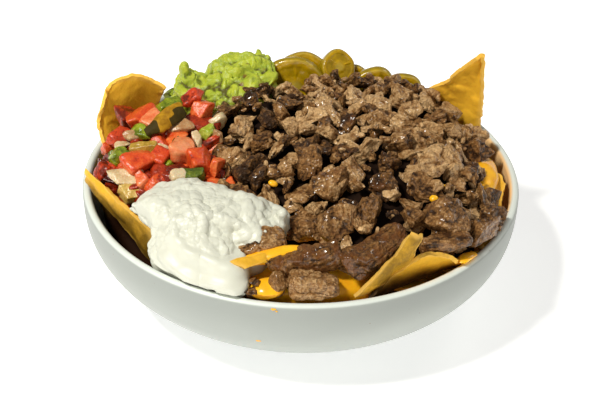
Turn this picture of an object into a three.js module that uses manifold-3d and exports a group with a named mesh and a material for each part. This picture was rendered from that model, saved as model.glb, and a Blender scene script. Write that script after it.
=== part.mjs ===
// A stoneware bowl of loaded nachos: tortilla chips and cheese sauce under chopped grilled beef,
// with sour cream, guacamole, fresh salsa and pickled pepper slices. Millimetres, +Z up; the origin
// is the middle of the ring that the bowl stands on, and -Y is the side of the cream's tongue.

import * as THREE from 'three';
import { mergeVertices } from 'three/addons/utils/BufferGeometryUtils.js';
import Module from 'manifold-3d';

const wasm = await Module();
wasm.setup();

// ---------------------------------------------------------------- driving dimensions

const RIM_RADIUS = 108;
const BOWL_HEIGHT = 58;
const FOOT_RADIUS = 50;
const FOOT_WIDTH = 6;
const FOOT_RECESS = 1.8;
const WALL = 4.4;
const FLOOR = 6;
const INNER_FLOOR_RADIUS = 44;
const WALL_RISE = 2.86; // how soon the curved wall turns upright
const WALL_ROUND = 1.15;
const BOWL_SIDES = 48;
const INNER_STEPS = [1, 0.62, 0.36, 0.18, 0.06, 0]; // heights on the inside of the wall, as shares

const GAP = 0.35; // free space between neighbouring pieces
const SOLE = 44; // height of the foods' undersides, inside the bed of chips
const BUMPS = 2.2; // how many times finer the bumps on cream and guacamole are than the slow hills
const UNDERCUT = 0.78; // how far a heap's underside reaches, as a share of its outline
const CHIP_THICKNESS = 1.9;
const CHIP_STEPS = 5;
const POCKET_WIDTH = 30;
const SLICE_RADIUS = 15;
const SLICE_SIDES = 12;
const GOLDEN_ANGLE = Math.PI * (3 - Math.sqrt(5));

// Each heap is an outline about its centre, given every 30 degrees from +X towards +Y, with the
// height of its edge in the same directions and the height of its crown. The smaller its fall,
// the sooner it comes down from the crown.
const BEEF = {
  centre: [30, 0],
  outline: [57, 66, 70, 68, 65, 84, 71, 78, 72, 84, 80, 74],
  edge: [58, 65, 71, 74, 76, 76, 71, 68, 62, 60, 60, 57],
  crown: 85,
  pieces: 71,
};
const CREAM = {
  centre: [-44, -72],
  outline: [37, 41, 32, 34, 40, 43, 24, 23, 21, 23, 34, 26],
  edge: [68, 71, 73, 75, 74, 68, 62, 60.5, 60.5, 60.5, 61, 62],
  crown: 82,
  fall: [2.2, 3, 3, 3, 3, 3, 3, 2.4, 2, 1.6, 0.9, 1.1],
};
const GUACAMOLE = {
  centre: [-42, 60],
  outline: [28, 28, 28, 29, 26, 27, 30, 28, 24, 27, 27, 26],
  edge: [81, 82, 72, 60, 58, 64, 68, 70, 72, 73, 75, 78],
  crown: 83.5,
};
const SALSA = {
  centre: [-70, -8],
  outline: [29, 32, 43, 30, 32, 34, 29, 28, 34, 30, 43, 44],
  edge: [70, 72, 74, 72, 64, 58, 57, 58, 62, 66, 68, 68],
  crown: 77,
  pieces: 23,
};
const BED = {
  height: 46,
  clearance: 2.6,
  plates: { count: 6, from: 66, to: 176, reach: [69, 73], size: [27, 32], lean: [-16, 20], roll: 12 },
  hills: [
    { at: [22, 82], size: [50, 26], rise: 11 },
    { at: [5, -85], size: [36, 30], rise: 5 },
    { at: [-84, -50], size: [22, 30], rise: -26 },
    { at: [56, -84], size: [24, 14], rise: -10 },
    { at: [-78, 40], size: [18, 30], rise: 10 },
    { at: [104, 20], size: [16, 40], rise: -16 },
  ],
};

const BEEF_MEAN_REACH = 74;

// The cheese sauce is a crescent along the wall, from the front left round to the right, with
// the height of its crest at equal steps on the way.
const SAUCE = {
  from: -119,
  to: 12,
  inner: 56,
  outer: [96, 99, 101, 100.5, 97, 86, 88, 97, 99, 97, 96, 90],
  crest: [52, 58, 62, 62, 59, 52, 56, 59, 60, 60, 60, 56],
  sides: 8,
  steps: 16,
};

// Pieces of beef that lie on the sauce by themselves: middle, size and turn about X, Y and Z.
const LOOSE_BEEF = {
  beef_front_cube: { at: [6.3, -96.5, 62], size: [23, 13.5, 12], turn: [-6, 0, 2], seed: 3 },
  beef_front_small: { at: [-9.5, -96.5, 62], size: [8.5, 8.5, 11.5], turn: [0, 20, 30], seed: 14 },
  beef_strip_left: { at: [1.5, -85.5, 69], size: [34, 12, 11], turn: [0, -9, 8], seed: 25 },
  beef_strip_right: { at: [34, -82, 70.5], size: [34, 14, 12], turn: [0, -14, 36], seed: 36 },
  beef_wedge: { at: [-17.5, -76, 70.5], size: [22, 15, 9], turn: [14, 0, 12], seed: 47 },
};

// Pieces of beef fused to the heap that stand out by their size.
const LARGE_BEEF = [
  { at: [66, -71, 68.5], size: [23, 12, 9], turn: [0, 6, 8], seed: 58 },
  { at: [66, -62, 75], size: [20, 16, 13], turn: [10, 0, 20], seed: 61 },
  { at: [93, -41, 62], size: [16, 11, 10], turn: [0, 10, 60], seed: 72 },
  { at: [83, -56, 65], size: [21, 11, 12], turn: [8, 0, 50], seed: 83 },
  { at: [61, -33, 83], size: [18, 15, 14], turn: [0, 0, 10], seed: 94 },
  { at: [88, 12, 67], size: [20, 13, 11], turn: [0, 16, 10], seed: 95 },
];

// Tortilla chips: the corners of each, in order round it, how far it bows, and its ripples.
const CHIPS = {
  chip_back_left: {
    corners: [[-98.5, 15, 56], [-76, 44, 54], [-70, 34, 85], [-98, 27, 84]],
    bulge: [0, 2, 9, 1],
    bow: -8,
    ripple: 1.2,
  },
  chip_back_right: {
    corners: [[48, 64, 58], [92, 42, 46], [88, 25, 112], [85.5, 25.5, 111]],
    bulge: [0, 0, 0, -3],
    bow: -5,
    ripple: 0.5,
  },
  chip_left: {
    corners: [[-103.5, -16, 60], [-64, -66, 45], [-67, -65, 67], [-105, -12.5, 65.5]],
    bulge: [-1, 0, 0, 0],
    bow: 1.5,
    ripple: 0.8,
  },
  chip_front_tall: {
    corners: [[24, -99, 57.5], [46, -80, 58], [54, -86, 83], [49.5, -85, 85]],
    bulge: [0, 0, 0, -3],
    bow: 2,
    ripple: 0.6,
  },
  chip_front_low: {
    corners: [[31, -91, 50], [77, -66, 53], [72, -77, 61.5], [54, -84.5, 70.5]],
    bulge: [0, 0, 2, 0],
    bow: -2,
    ripple: 0.4,
  },
  chip_front_small: {
    corners: [[-31, -93, 70.3], [-23, -96.5, 67.5], [-2, -82, 65], [-7, -80, 69]],
    bulge: [0, 0, 0, 0],
    bow: 1,
    ripple: 0.3,
  },
  chip_right: {
    corners: [[70, -20, 56], [97, -24, 50], [101, -6, 57], [82, 16, 60]],
    bulge: [0, 0, 3, 0],
    bow: 2,
    ripple: 0.4,
  },
};

// Pickled pepper slices: middle, radius as a share of the full one, and lean about X and Y.
const SLICES = {
  jalapeno_1: { at: [0, 81, 66.8], size: 0.94, thick: 6, lean: [64, 6] },
  jalapeno_2: { at: [-4.5, 71, 67], size: 1.08, thick: 6, lean: [76, -4] },
  jalapeno_3: { at: [18, 79, 74.5], size: 0.62, thick: 8, lean: [52, 24] },
  jalapeno_4: { at: [28, 81, 64], size: 0.64, thick: 6, lean: [70, 0] },
  jalapeno_5: { at: [38, 73, 65], size: 0.82, thick: 6.5, lean: [80, 6] },
  jalapeno_6: { at: [53, 74, 62.5], size: 0.74, thick: 6, lean: [76, 10] },
};

// The roasted pepper strip on the salsa: its way, half its width and depth, and its lean.
const STRIP = {
  way: [[-76.5, -2, 80.5], [-70, 1, 84], [-64, 6, 86.5], [-58.5, 12, 86.5]],
  width: 5.6,
  depth: 1.6,
  lean: 40,
};

const COLOURS = {
  glaze: 0xe3e6db,
  beef: 0x735230,
  cream: 0xecedd9,
  guacamole: 0xa4a22f,
  salsa: 0xd2552f,
  roasted: 0x5a4418,
  sauce: 0xf3b41c,
  chip: 0xd2962f,
  pickle: 0xa08414,
};

// ---------------------------------------------------------------- small tools

const radians = (degrees) => (degrees * Math.PI) / 180;
const lerp = THREE.MathUtils.lerp;

// A number from 0 to 1 that depends only on a piece's index and on what it is drawn for.
function draw(index, salt) {
  const value = Math.sin(index * 12.9898 + salt * 78.233) * 43758.5453;
  return value - Math.floor(value);
}

// Slow hills, about one unit high, that run over the whole bowl.
function hills(x, y) {
  const broad = Math.sin(x * 0.16 + 1.3) * Math.sin(y * 0.14 + 0.4);
  return broad + 0.5 * Math.sin(x * 0.33 + y * 0.27);
}

// A list given at equal steps round a circle, read at any angle.
function aroundCircle(list, angle) {
  const place = THREE.MathUtils.euclideanModulo(angle / (2 * Math.PI), 1) * list.length;
  const step = Math.floor(place);
  const share = (1 - Math.cos((place - step) * Math.PI)) / 2;
  return lerp(list[step % list.length], list[(step + 1) % list.length], share);
}

// A list given at equal steps along a way, read at any share of it.
function alongList(list, share) {
  const place = share * (list.length - 1);
  const step = Math.min(Math.floor(place), list.length - 2);
  return lerp(list[step], list[step + 1], place - step);
}

// How full a form is from pole to pole: nothing at either pole and one in the middle.
function fullness(down, power) {
  return down === 0 || down === 1 ? 0 : Math.sin(Math.PI * down) ** power;
}

function bell(x, y, { at, size, rise }) {
  return rise * Math.exp(-(((x - at[0]) / size[0]) ** 2) - ((y - at[1]) / size[1]) ** 2);
}

// ---------------------------------------------------------------- joining and cutting

function solidOf(geometry) {
  const bare = new THREE.BufferGeometry();
  bare.setAttribute('position', geometry.getAttribute('position'));
  bare.setIndex(geometry.getIndex());
  const merged = mergeVertices(bare, 1e-4);
  const corners = merged.getIndex().array;
  const triangles = [];
  for (let i = 0; i < corners.length; i += 3) {
    const [a, b, c] = [corners[i], corners[i + 1], corners[i + 2]];
    if (a !== b && b !== c && c !== a) triangles.push(a, b, c);
  }
  return new wasm.Manifold(new wasm.Mesh({
    numProp: 3,
    vertProperties: new Float32Array(merged.getAttribute('position').array),
    triVerts: new Uint32Array(triangles),
  }));
}

function geometryOf(solid) {
  const mesh = solid.getMesh();
  const geometry = new THREE.BufferGeometry();
  geometry.setAttribute('position', new THREE.BufferAttribute(mesh.vertProperties, 3));
  geometry.setIndex(new THREE.BufferAttribute(mesh.triVerts, 1));
  geometry.computeVertexNormals();
  return geometry;
}

// Only the largest body is kept, so no loose scrap is left by a cut.
function largest(solid) {
  return solid.decompose().reduce((best, body) => (body.volume() > best.volume() ? body : best));
}

const joined = (solids) => solids.reduce((whole, solid) => whole.add(solid));
const without = (solid, cutters) => largest(cutters.reduce((rest, cut) => rest.subtract(cut), solid));

// ---------------------------------------------------------------- forms

// A sphere's grid moved into another closed shape: place(turn, down) gives each point, with turn
// going once round and down going from the top pole to the bottom pole.
function closedForm(sides, rows, place) {
  const geometry = new THREE.SphereGeometry(1, sides, rows);
  const { position, uv } = geometry.attributes;
  for (let i = 0; i < position.count; i += 1) {
    const down = Math.round((1 - uv.getY(i)) * rows) / rows;
    const turn = (i % (sides + 1)) / sides;
    position.setXYZ(i, ...place(turn === 1 ? 0 : turn, down));
  }
  return geometry;
}

// The inside of the wall at a height.
function innerRadius(z) {
  const rise = THREE.MathUtils.clamp((z - FLOOR) / (BOWL_HEIGHT - WALL / 2 - FLOOR), 0, 1);
  const span = RIM_RADIUS - WALL - INNER_FLOOR_RADIUS;
  return INNER_FLOOR_RADIUS + span * (1 - (1 - rise) ** WALL_RISE) ** (1 / WALL_ROUND);
}

function outerRadius(z) {
  const span = RIM_RADIUS - FOOT_RADIUS;
  const rise = THREE.MathUtils.clamp(z / (BOWL_HEIGHT - WALL / 2), 0, 1);
  return FOOT_RADIUS + span * (1 - (1 - rise) ** WALL_RISE) ** (1 / WALL_ROUND);
}

// Pulls a point in from the wall, or above the lip from the lip's outer edge.
function insideWall(x, y, z, clearance) {
  const reach = Math.hypot(x, y);
  const wall = z < BOWL_HEIGHT + 2 ? innerRadius(Math.min(z, BOWL_HEIGHT)) : RIM_RADIUS;
  const share = Math.min(1, (wall - clearance) / reach);
  return [x * share, y * share, z];
}

function heapTop(heap, share, angle) {
  const edge = aroundCircle(heap.edge, angle);
  const fall = aroundCircle(heap.fall ?? [3], angle);
  return edge + (heap.crown - edge) * (1 - Math.min(share, 1) ** fall) ** 0.8;
}

function bedTop(x, y) {
  return BED.hills.reduce((z, hill) => z + bell(x, y, hill), BED.height);
}

// A heap's bare core: a crown of rings, a side down to the sole, and a flat underside.
function heapCore(heap, { sides, rings, grow = 0, relief = 0, sink = 0 }) {
  const rows = rings + 3;
  return closedForm(sides, rows, (turn, down) => {
    const angle = turn * 2 * Math.PI;
    const row = Math.round(down * rows);
    const share = row <= rings ? row / rings : (UNDERCUT * (rows - row)) / 2;
    const reach = (aroundCircle(heap.outline, angle) + grow) * share;
    const x = heap.centre[0] + reach * Math.cos(angle);
    const y = heap.centre[1] + reach * Math.sin(angle);
    const fade = Math.min(1, 3 * share) * (1 - share ** 3);
    const bumps = relief * hills(x * BUMPS, y * BUMPS) * fade;
    const top = heapTop(heap, share, angle) - sink + grow + bumps;
    return insideWall(x, y, row <= rings ? top : SOLE - grow, 0.9 - grow);
  });
}

// Points spread evenly over a heap, by turning through the golden angle.
function heapSpot(heap, index, count, reach = 1) {
  const angle = index * GOLDEN_ANGLE;
  const share = Math.sqrt((index + 0.5) / count) * reach;
  const radius = aroundCircle(heap.outline, angle) * share;
  return {
    angle,
    share,
    x: heap.centre[0] + radius * Math.cos(angle),
    y: heap.centre[1] + radius * Math.sin(angle),
    z: heapTop(heap, share, angle),
  };
}

// An uneven chunk with twenty faces.
function chunk({ at, size, turn, seed, grow = 0 }) {
  const ball = new THREE.IcosahedronGeometry(1, 0);
  ball.deleteAttribute('normal');
  ball.deleteAttribute('uv');
  const geometry = mergeVertices(ball, 1e-4);
  const position = geometry.getAttribute('position');
  const pose = new THREE.Matrix4().compose(
    new THREE.Vector3(...at),
    new THREE.Quaternion().setFromEuler(new THREE.Euler(...turn)),
    new THREE.Vector3(1, 1, 1),
  );
  const point = new THREE.Vector3();
  for (let i = 0; i < position.count; i += 1) {
    const uneven = 0.88 + 0.34 * draw(seed + i * 7, 11);
    point.fromBufferAttribute(position, i).multiplyScalar(uneven);
    point.set(...size.map((length, axis) => point.getComponent(axis) * (length / 2 + grow)));
    point.applyMatrix4(pose);
    position.setXYZ(i, point.x, point.y, point.z);
  }
  return geometry;
}

// A cut cube, a little out of square.
function dice({ at, size, turn, seed, grow = 0 }) {
  const lengths = size.map((length) => length + 2 * grow);
  const geometry = new THREE.BoxGeometry(...lengths);
  const position = geometry.getAttribute('position');
  for (let i = 0; i < position.count; i += 1) {
    const lean = 0.3 * (draw(seed, 12) - 0.5) * position.getZ(i);
    const taper = 1 + 0.3 * (draw(seed, 13) - 0.5) * Math.sign(position.getX(i));
    position.setXYZ(i, position.getX(i) + lean, position.getY(i) * taper, position.getZ(i));
  }
  geometry.rotateX(turn[0]);
  geometry.rotateY(turn[1]);
  geometry.rotateZ(turn[2]);
  geometry.translate(...at);
  return geometry;
}

// ---------------------------------------------------------------- the bowl

// The inside of the wall, from the lip down to the floor.
function innerProfile() {
  return INNER_STEPS.map((share) => {
    const height = FLOOR + share * (BOWL_HEIGHT - WALL / 2 - FLOOR);
    return [innerRadius(height), height];
  });
}

// What the foods keep clear of: the inside of the wall and the lip, with a gap.
function makeCollar() {
  const beyond = RIM_RADIUS + 5;
  const profile = innerProfile().map(([radius, height]) => [radius - GAP, height]);
  profile.push([beyond, profile.at(-1)[1]]);
  profile.push([beyond, BOWL_HEIGHT + GAP]);
  profile.push([RIM_RADIUS - WALL / 2, BOWL_HEIGHT + GAP]);
  profile.push([RIM_RADIUS - WALL * 0.95, BOWL_HEIGHT - WALL * 0.12]);
  profile.push(profile[0]);
  const points = profile.map((p) => new THREE.Vector2(...p));
  const geometry = new THREE.LatheGeometry(points, BOWL_SIDES);
  geometry.rotateX(Math.PI / 2);
  return solidOf(geometry);
}

function makeBowl() {
  const lip = WALL / 2;
  const wallTop = BOWL_HEIGHT - lip;
  const profile = [
    [0, FOOT_RECESS],
    [FOOT_RADIUS - FOOT_WIDTH - 1.5, FOOT_RECESS],
    [FOOT_RADIUS - FOOT_WIDTH, 0],
    [FOOT_RADIUS, 0],
  ];
  for (const share of [0.04, 0.12, 0.26, 0.46, 0.72, 1]) {
    profile.push([outerRadius(share * wallTop), share * wallTop]);
  }
  for (const angle of [45, 90, 135].map(radians)) {
    profile.push([RIM_RADIUS - lip + lip * Math.cos(angle), wallTop + lip * Math.sin(angle)]);
  }
  profile.push(...innerProfile());
  profile.push([0, FLOOR]);
  const geometry = new THREE.LatheGeometry(profile.map((p) => new THREE.Vector2(...p)), BOWL_SIDES);
  geometry.rotateX(Math.PI / 2);
  return solidOf(geometry);
}

// ---------------------------------------------------------------- tortilla chips

// A thin sheet over four corners, its four edges bulged out and its middle bowed.
function chipForm({ corners, bulge, bow, ripple }, grow = 0) {
  const [a, b, c, d] = corners.map((corner) => new THREE.Vector3(...corner));
  const normal = new THREE.Vector3().crossVectors(
    new THREE.Vector3().subVectors(b, a),
    new THREE.Vector3().subVectors(d, a),
  ).normalize();
  const centre = new THREE.Vector3().add(a).add(b).add(c).add(d).multiplyScalar(0.25);
  const across = CHIP_STEPS;
  const along = CHIP_STEPS;

  function surface(u, v) {
    const low = a.clone().lerp(b, u);
    const high = d.clone().lerp(c, u);
    const point = low.clone().lerp(high, v);
    const arch = (t) => 4 * t * (1 - t);
    const pushes = [[low, bulge[0] * arch(u) * (1 - v)], [high, bulge[2] * arch(u) * v]];
    pushes.push([b.clone().lerp(c, v), bulge[1] * arch(v) * u]);
    pushes.push([a.clone().lerp(d, v), bulge[3] * arch(v) * (1 - u)]);
    for (const [edge, push] of pushes) {
      point.addScaledVector(edge.sub(centre).normalize(), push);
    }
    const wave = ripple * Math.sin(u * 7 + v * 3) * Math.cos(v * 6 - u * 2);
    return point.addScaledVector(normal, bow * (arch(u) + arch(v)) / 2 + wave);
  }

  const positions = [];
  const index = [];
  for (const side of [1, -1]) {
    for (let j = 0; j <= along; j += 1) {
      for (let i = 0; i <= across; i += 1) {
        const point = surface(i / across, j / along);
        const outward = point.clone().sub(centre).normalize();
        const rim = i === 0 || j === 0 || i === across || j === along ? grow : 0;
        point.addScaledVector(outward, rim);
        point.addScaledVector(normal, side * (CHIP_THICKNESS / 2 + grow));
        positions.push(...point.toArray());
      }
    }
  }
  const row = across + 1;
  const sheet = row * (along + 1);
  for (let j = 0; j < along; j += 1) {
    for (let i = 0; i < across; i += 1) {
      const [p, q, r, s] = [j * row + i, j * row + i + 1, (j + 1) * row + i + 1, (j + 1) * row + i];
      index.push(p, q, r, p, r, s);
      index.push(sheet + p, sheet + r, sheet + q, sheet + p, sheet + s, sheet + r);
    }
  }
  const rim = [];
  for (let i = 0; i < across; i += 1) rim.push(i);
  for (let j = 0; j < along; j += 1) rim.push(j * row + across);
  for (let i = across; i > 0; i -= 1) rim.push(along * row + i);
  for (let j = along; j > 0; j -= 1) rim.push(j * row);
  rim.forEach((from, k) => {
    const to = rim[(k + 1) % rim.length];
    index.push(from, sheet + to, to, from, sheet + from, sheet + to);
  });
  const geometry = new THREE.BufferGeometry();
  geometry.setAttribute('position', new THREE.Float32BufferAttribute(positions, 3));
  geometry.setIndex(index);
  return solidOf(geometry);
}

// ---------------------------------------------------------------- pickled pepper slices

// A slice with a sunk ring of seed chambers round its core, turned and set in place.
function sliceForm({ at, size, thick, lean }, grow = 0) {
  const half = thick / 2 + grow;
  const radius = SLICE_RADIUS * size;
  const sunk = grow > 0 ? 0 : 1.6;
  const profile = [
    [0, half],
    [radius * 0.34, half - sunk],
    [radius * 0.68, half - sunk],
    [radius * 0.78, half],
    [radius * 0.97 + grow, half],
    [radius + grow, -half],
    [0, -half],
  ].reverse();
  const geometry = new THREE.LatheGeometry(profile.map((p) => new THREE.Vector2(...p)), SLICE_SIDES);
  geometry.rotateX(Math.PI / 2);
  geometry.rotateX(radians(lean[0]));
  geometry.rotateY(radians(lean[1]));
  geometry.translate(...at);
  return solidOf(geometry);
}

// ---------------------------------------------------------------- roasted pepper strip

// A folded strip of roasted pepper on the salsa.
function roastedStrip(grow = 0) {
  const way = new THREE.CatmullRomCurve3(STRIP.way.map((point) => new THREE.Vector3(...point)));
  const lean = radians(STRIP.lean);
  return solidOf(closedForm(10, 10, (turn, down) => {
    const along = way.getPoint(down);
    const swell = fullness(down, 0.3);
    const angle = turn * 2 * Math.PI;
    const across = (STRIP.width + grow) * swell * Math.cos(angle);
    const raise = (STRIP.depth + grow) * swell * Math.sin(angle);
    const x = along.x + 0.3 * across;
    const y = along.y - across * Math.cos(lean) - raise * Math.sin(lean);
    const z = along.z - across * Math.sin(lean) + raise * Math.cos(lean);
    return [x, y, z];
  }));
}

// ---------------------------------------------------------------- bed, sauce and heaps

// Chips of the bed that show along the wall: three-cornered plates, each leaning its own way.
function bedChips(grow = 0) {
  const plates = [];
  const { count, from, to, reach, size, lean, roll } = BED.plates;
  for (let k = 0; k < count; k += 1) {
    const azimuth = radians(lerp(from, to, (k + 0.3 * draw(k, 61)) / count));
    const distance = lerp(...reach, draw(k, 62));
    const radius = lerp(...size, draw(k, 63)) + grow;
    const corners = [90, 210, 330].map(radians);
    const outline = corners.map((a) => new THREE.Vector2(radius * Math.cos(a), radius * Math.sin(a)));
    const depth = CHIP_THICKNESS + 2 * grow;
    const plate = new THREE.ExtrudeGeometry(new THREE.Shape(outline), { depth, bevelEnabled: false });
    plate.translate(0, 0, -depth / 2);
    plate.rotateZ(2 * Math.PI * draw(k, 64));
    plate.rotateY(radians(lerp(...lean, draw(k, 65))));
    plate.rotateX(radians(lerp(-roll, roll, draw(k, 66))));
    plate.rotateZ(azimuth);
    const [x, y] = [distance * Math.cos(azimuth), distance * Math.sin(azimuth)];
    plate.translate(x, y, bedTop(x, y) + 2);
    plates.push(solidOf(plate));
  }
  return plates;
}

// The free space between the left-hand chip and the wall, which the cream keeps out of.
function leftPocket() {
  const [from, to] = CHIPS.chip_left.corners.map(([x, y]) => new THREE.Vector2(x, y));
  const along = to.clone().sub(from);
  const middle = from.clone().lerp(to, 0.5);
  const box = new THREE.BoxGeometry(along.length(), POCKET_WIDTH, 2 * BOWL_HEIGHT);
  box.translate(0, -POCKET_WIDTH / 2, BOWL_HEIGHT);
  box.rotateZ(along.angle());
  box.translate(middle.x, middle.y, 0);
  return solidOf(box);
}

// The chips at the bottom, as one closed body that follows the wall.
function bedForm(grow = 0) {
  const sides = 32;
  const wall = [8, 14, 24, 36];
  const rings = [1, 0.88, 0.68, 0.36];
  const rows = rings.length + wall.length + 3;
  return solidOf(closedForm(sides, rows, (turn, down) => {
    const angle = turn * 2 * Math.PI;
    const row = Math.round(down * rows);
    const [c, s] = [Math.cos(angle), Math.sin(angle)];
    if (row === 0) return [0, 0, bedTop(0, 0) + grow];
    if (row <= rings.length) {
      const share = rings[rings.length - row];
      const reach = share * (innerRadius(40) - 1 + grow);
      const z = bedTop(reach * c, reach * s) + grow;
      return insideWall(reach * c, reach * s, z, BED.clearance - grow);
    }
    const step = row - rings.length;
    if (step <= wall.length) {
      const rim = innerRadius(40) - 1;
      const top = bedTop(rim * c, rim * s) + grow;
      const z = Math.min(wall[wall.length - step], top - 0.6 * step);
      const reach = innerRadius(z) - BED.clearance + grow;
      return [reach * c, reach * s, z];
    }
    const share = (rows - row) / 2;
    return [share * 0.98 * INNER_FLOOR_RADIUS * c, share * 0.98 * INNER_FLOOR_RADIUS * s, FLOOR + 0.4];
  }));
}

function sauceForm(grow = 0) {
  const { from, to, inner, sides, steps } = SAUCE;
  return solidOf(closedForm(sides, steps, (turn, down) => {
    const azimuth = radians(lerp(from, to, down));
    const swell = fullness(down, 0.35);
    const angle = turn * 2 * Math.PI;
    const outer = alongList(SAUCE.outer, down);
    const crest = alongList(SAUCE.crest, down);
    const reach = (inner + outer) / 2 + ((outer - inner) / 2 + grow) * swell * Math.cos(angle);
    const lift = (crest - SOLE) / 2 + grow;
    const z = (crest + SOLE) / 2 + lift * Math.sin(angle) * swell;
    return insideWall(reach * Math.cos(azimuth), reach * Math.sin(azimuth), z, 0.9 - grow);
  }));
}

// Chunks of beef on the heap, largest first. They lean with its slope.
function beefChunks(grow = 0) {
  const chunks = [];
  for (let k = 0; k < BEEF.pieces; k += 1) {
    const spot = heapSpot(BEEF, k, BEEF.pieces, 0.97);
    const room = aroundCircle(BEEF.outline, spot.angle) / BEEF_MEAN_REACH;
    const length = (12 + 8 * draw(k, 1)) * room;
    const width = length * (0.56 + 0.26 * draw(k, 2));
    const depth = length * (0.46 + 0.2 * draw(k, 3));
    const slope = 0.9 * spot.share ** 3;
    const turn = [
      -slope * Math.sin(spot.angle) + 0.9 * (draw(k, 5) - 0.5),
      slope * Math.cos(spot.angle) + 0.9 * (draw(k, 6) - 0.5),
      2 * Math.PI * draw(k, 4),
    ];
    const at = insideWall(spot.x, spot.y, spot.z - 1.5, length * 0.45);
    chunks.push(chunk({ at, size: [length, width, depth], turn, seed: k, grow }));
  }
  for (const piece of LARGE_BEEF) {
    chunks.push(chunk({ ...piece, turn: piece.turn.map(radians), grow }));
  }
  return chunks.map(solidOf);
}

// Cut tomato, onion and pepper on the salsa.
function salsaDice(grow = 0) {
  const pieces = [];
  for (let k = 0; k < SALSA.pieces; k += 1) {
    const spot = heapSpot(SALSA, k, SALSA.pieces, 0.95);
    const length = 8 + 5 * draw(k, 21);
    const size = [length, length * (0.6 + 0.3 * draw(k, 22)), length * (0.5 + 0.3 * draw(k, 23))];
    const turn = [1.2 * (draw(k, 25) - 0.5), 1.2 * (draw(k, 26) - 0.5), 2 * Math.PI * draw(k, 24)];
    const at = insideWall(spot.x, spot.y, spot.z, length * 0.6);
    pieces.push(dice({ at, size, turn, seed: k, grow }));
  }
  return pieces.map(solidOf);
}

// ---------------------------------------------------------------- the whole

function makePieces() {
  const pieces = { bowl: makeBowl() };
  const carvers = [makeCollar()];
  for (const [name, chip] of Object.entries(CHIPS)) {
    pieces[name] = without(chipForm(chip), carvers);
    carvers.push(chipForm(chip, GAP));
  }
  for (const [name, slice] of Object.entries(SLICES)) {
    pieces[name] = without(sliceForm(slice), carvers);
    carvers.push(sliceForm(slice, GAP));
  }
  pieces.pepper_strip = roastedStrip();
  carvers.push(roastedStrip(GAP));
  for (const [name, piece] of Object.entries(LOOSE_BEEF)) {
    const turn = piece.turn.map(radians);
    pieces[name] = without(solidOf(chunk({ ...piece, turn })), carvers);
    carvers.push(solidOf(chunk({ ...piece, turn, grow: GAP })));
  }

  pieces.chip_bed = without(joined([bedForm(), ...bedChips()]), carvers);
  carvers.push(bedForm(GAP), ...bedChips(GAP));

  pieces.cheese_sauce = without(sauceForm(), carvers);
  carvers.push(sauceForm(GAP));

  const cream = (grow) => solidOf(heapCore(CREAM, { sides: 20, rings: 7, grow, relief: 2.4 }));
  pieces.sour_cream = without(cream(0), [...carvers, leftPocket()]);
  carvers.push(cream(GAP));

  const guacamole = (grow) => solidOf(heapCore(GUACAMOLE, { sides: 21, rings: 7, grow, relief: 3 }));
  pieces.guacamole = without(guacamole(0), carvers);
  carvers.push(guacamole(GAP));

  const beef = (grow) => [
    solidOf(heapCore(BEEF, { sides: 20, rings: 4, grow, sink: 4 })),
    ...beefChunks(grow),
  ];
  pieces.beef_heap = without(joined(beef(0)), carvers);
  carvers.push(...beef(GAP));

  const salsa = [solidOf(heapCore(SALSA, { sides: 16, rings: 3, sink: 3 })), ...salsaDice()];
  pieces.salsa_heap = without(joined(salsa), carvers);
  return pieces;
}

function materialOf(name) {
  const kinds = [
    ['bowl', COLOURS.glaze, 0.45],
    ['chip', COLOURS.chip, 0.7],
    ['jalapeno', COLOURS.pickle, 0.3],
    ['pepper', COLOURS.roasted, 0.4],
    ['cheese', COLOURS.sauce, 0.25],
    ['sour', COLOURS.cream, 0.35],
    ['guacamole', COLOURS.guacamole, 0.4],
    ['beef', COLOURS.beef, 0.5],
    ['salsa', COLOURS.salsa, 0.25],
  ];
  const [, color, roughness] = kinds.find(([start]) => name.startsWith(start));
  return new THREE.MeshStandardMaterial({ color, roughness, metalness: 0 });
}

const nachos = new THREE.Group();
nachos.name = 'nachos';
for (const [name, solid] of Object.entries(makePieces())) {
  const mesh = new THREE.Mesh(geometryOf(solid), materialOf(name));
  mesh.name = name;
  nachos.add(mesh);
}

export default nachos;
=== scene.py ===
"""Dresses the bowl of loaded nachos: every visible piece is a surface worked out with numpy over the
CAD frame, and every finish is a node material. Shapes are worked out in millimetres."""

import math

import bpy
import numpy as np
from bpy.props import FloatProperty, FloatVectorProperty, IntProperty, PointerProperty
from mathutils import Matrix, Vector


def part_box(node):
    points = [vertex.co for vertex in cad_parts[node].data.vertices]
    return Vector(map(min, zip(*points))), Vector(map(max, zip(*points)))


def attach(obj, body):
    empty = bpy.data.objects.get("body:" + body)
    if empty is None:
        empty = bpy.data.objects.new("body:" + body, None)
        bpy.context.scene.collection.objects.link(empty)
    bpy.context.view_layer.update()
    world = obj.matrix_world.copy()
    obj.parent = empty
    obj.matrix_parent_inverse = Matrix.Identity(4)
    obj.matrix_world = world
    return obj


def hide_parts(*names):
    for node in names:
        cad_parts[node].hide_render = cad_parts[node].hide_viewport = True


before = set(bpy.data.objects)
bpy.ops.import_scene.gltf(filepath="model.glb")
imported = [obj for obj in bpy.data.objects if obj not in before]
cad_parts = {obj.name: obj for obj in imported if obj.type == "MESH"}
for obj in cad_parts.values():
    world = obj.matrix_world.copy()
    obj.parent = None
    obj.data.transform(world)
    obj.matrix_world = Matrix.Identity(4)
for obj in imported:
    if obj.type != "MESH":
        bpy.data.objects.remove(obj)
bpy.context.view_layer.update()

bl_info = {
    "name": "Loaded nachos bowl",
    "version": (1, 0, 0),
    "blender": (4, 5, 0),
    "location": "3D View > Sidebar > Nachos",
    "description": "Models and finishes a stoneware bowl of loaded nachos over its CAD frame",
    "category": "Add Mesh",
}

# ---------------------------------------------------------------- sizes, in millimetres

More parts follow.
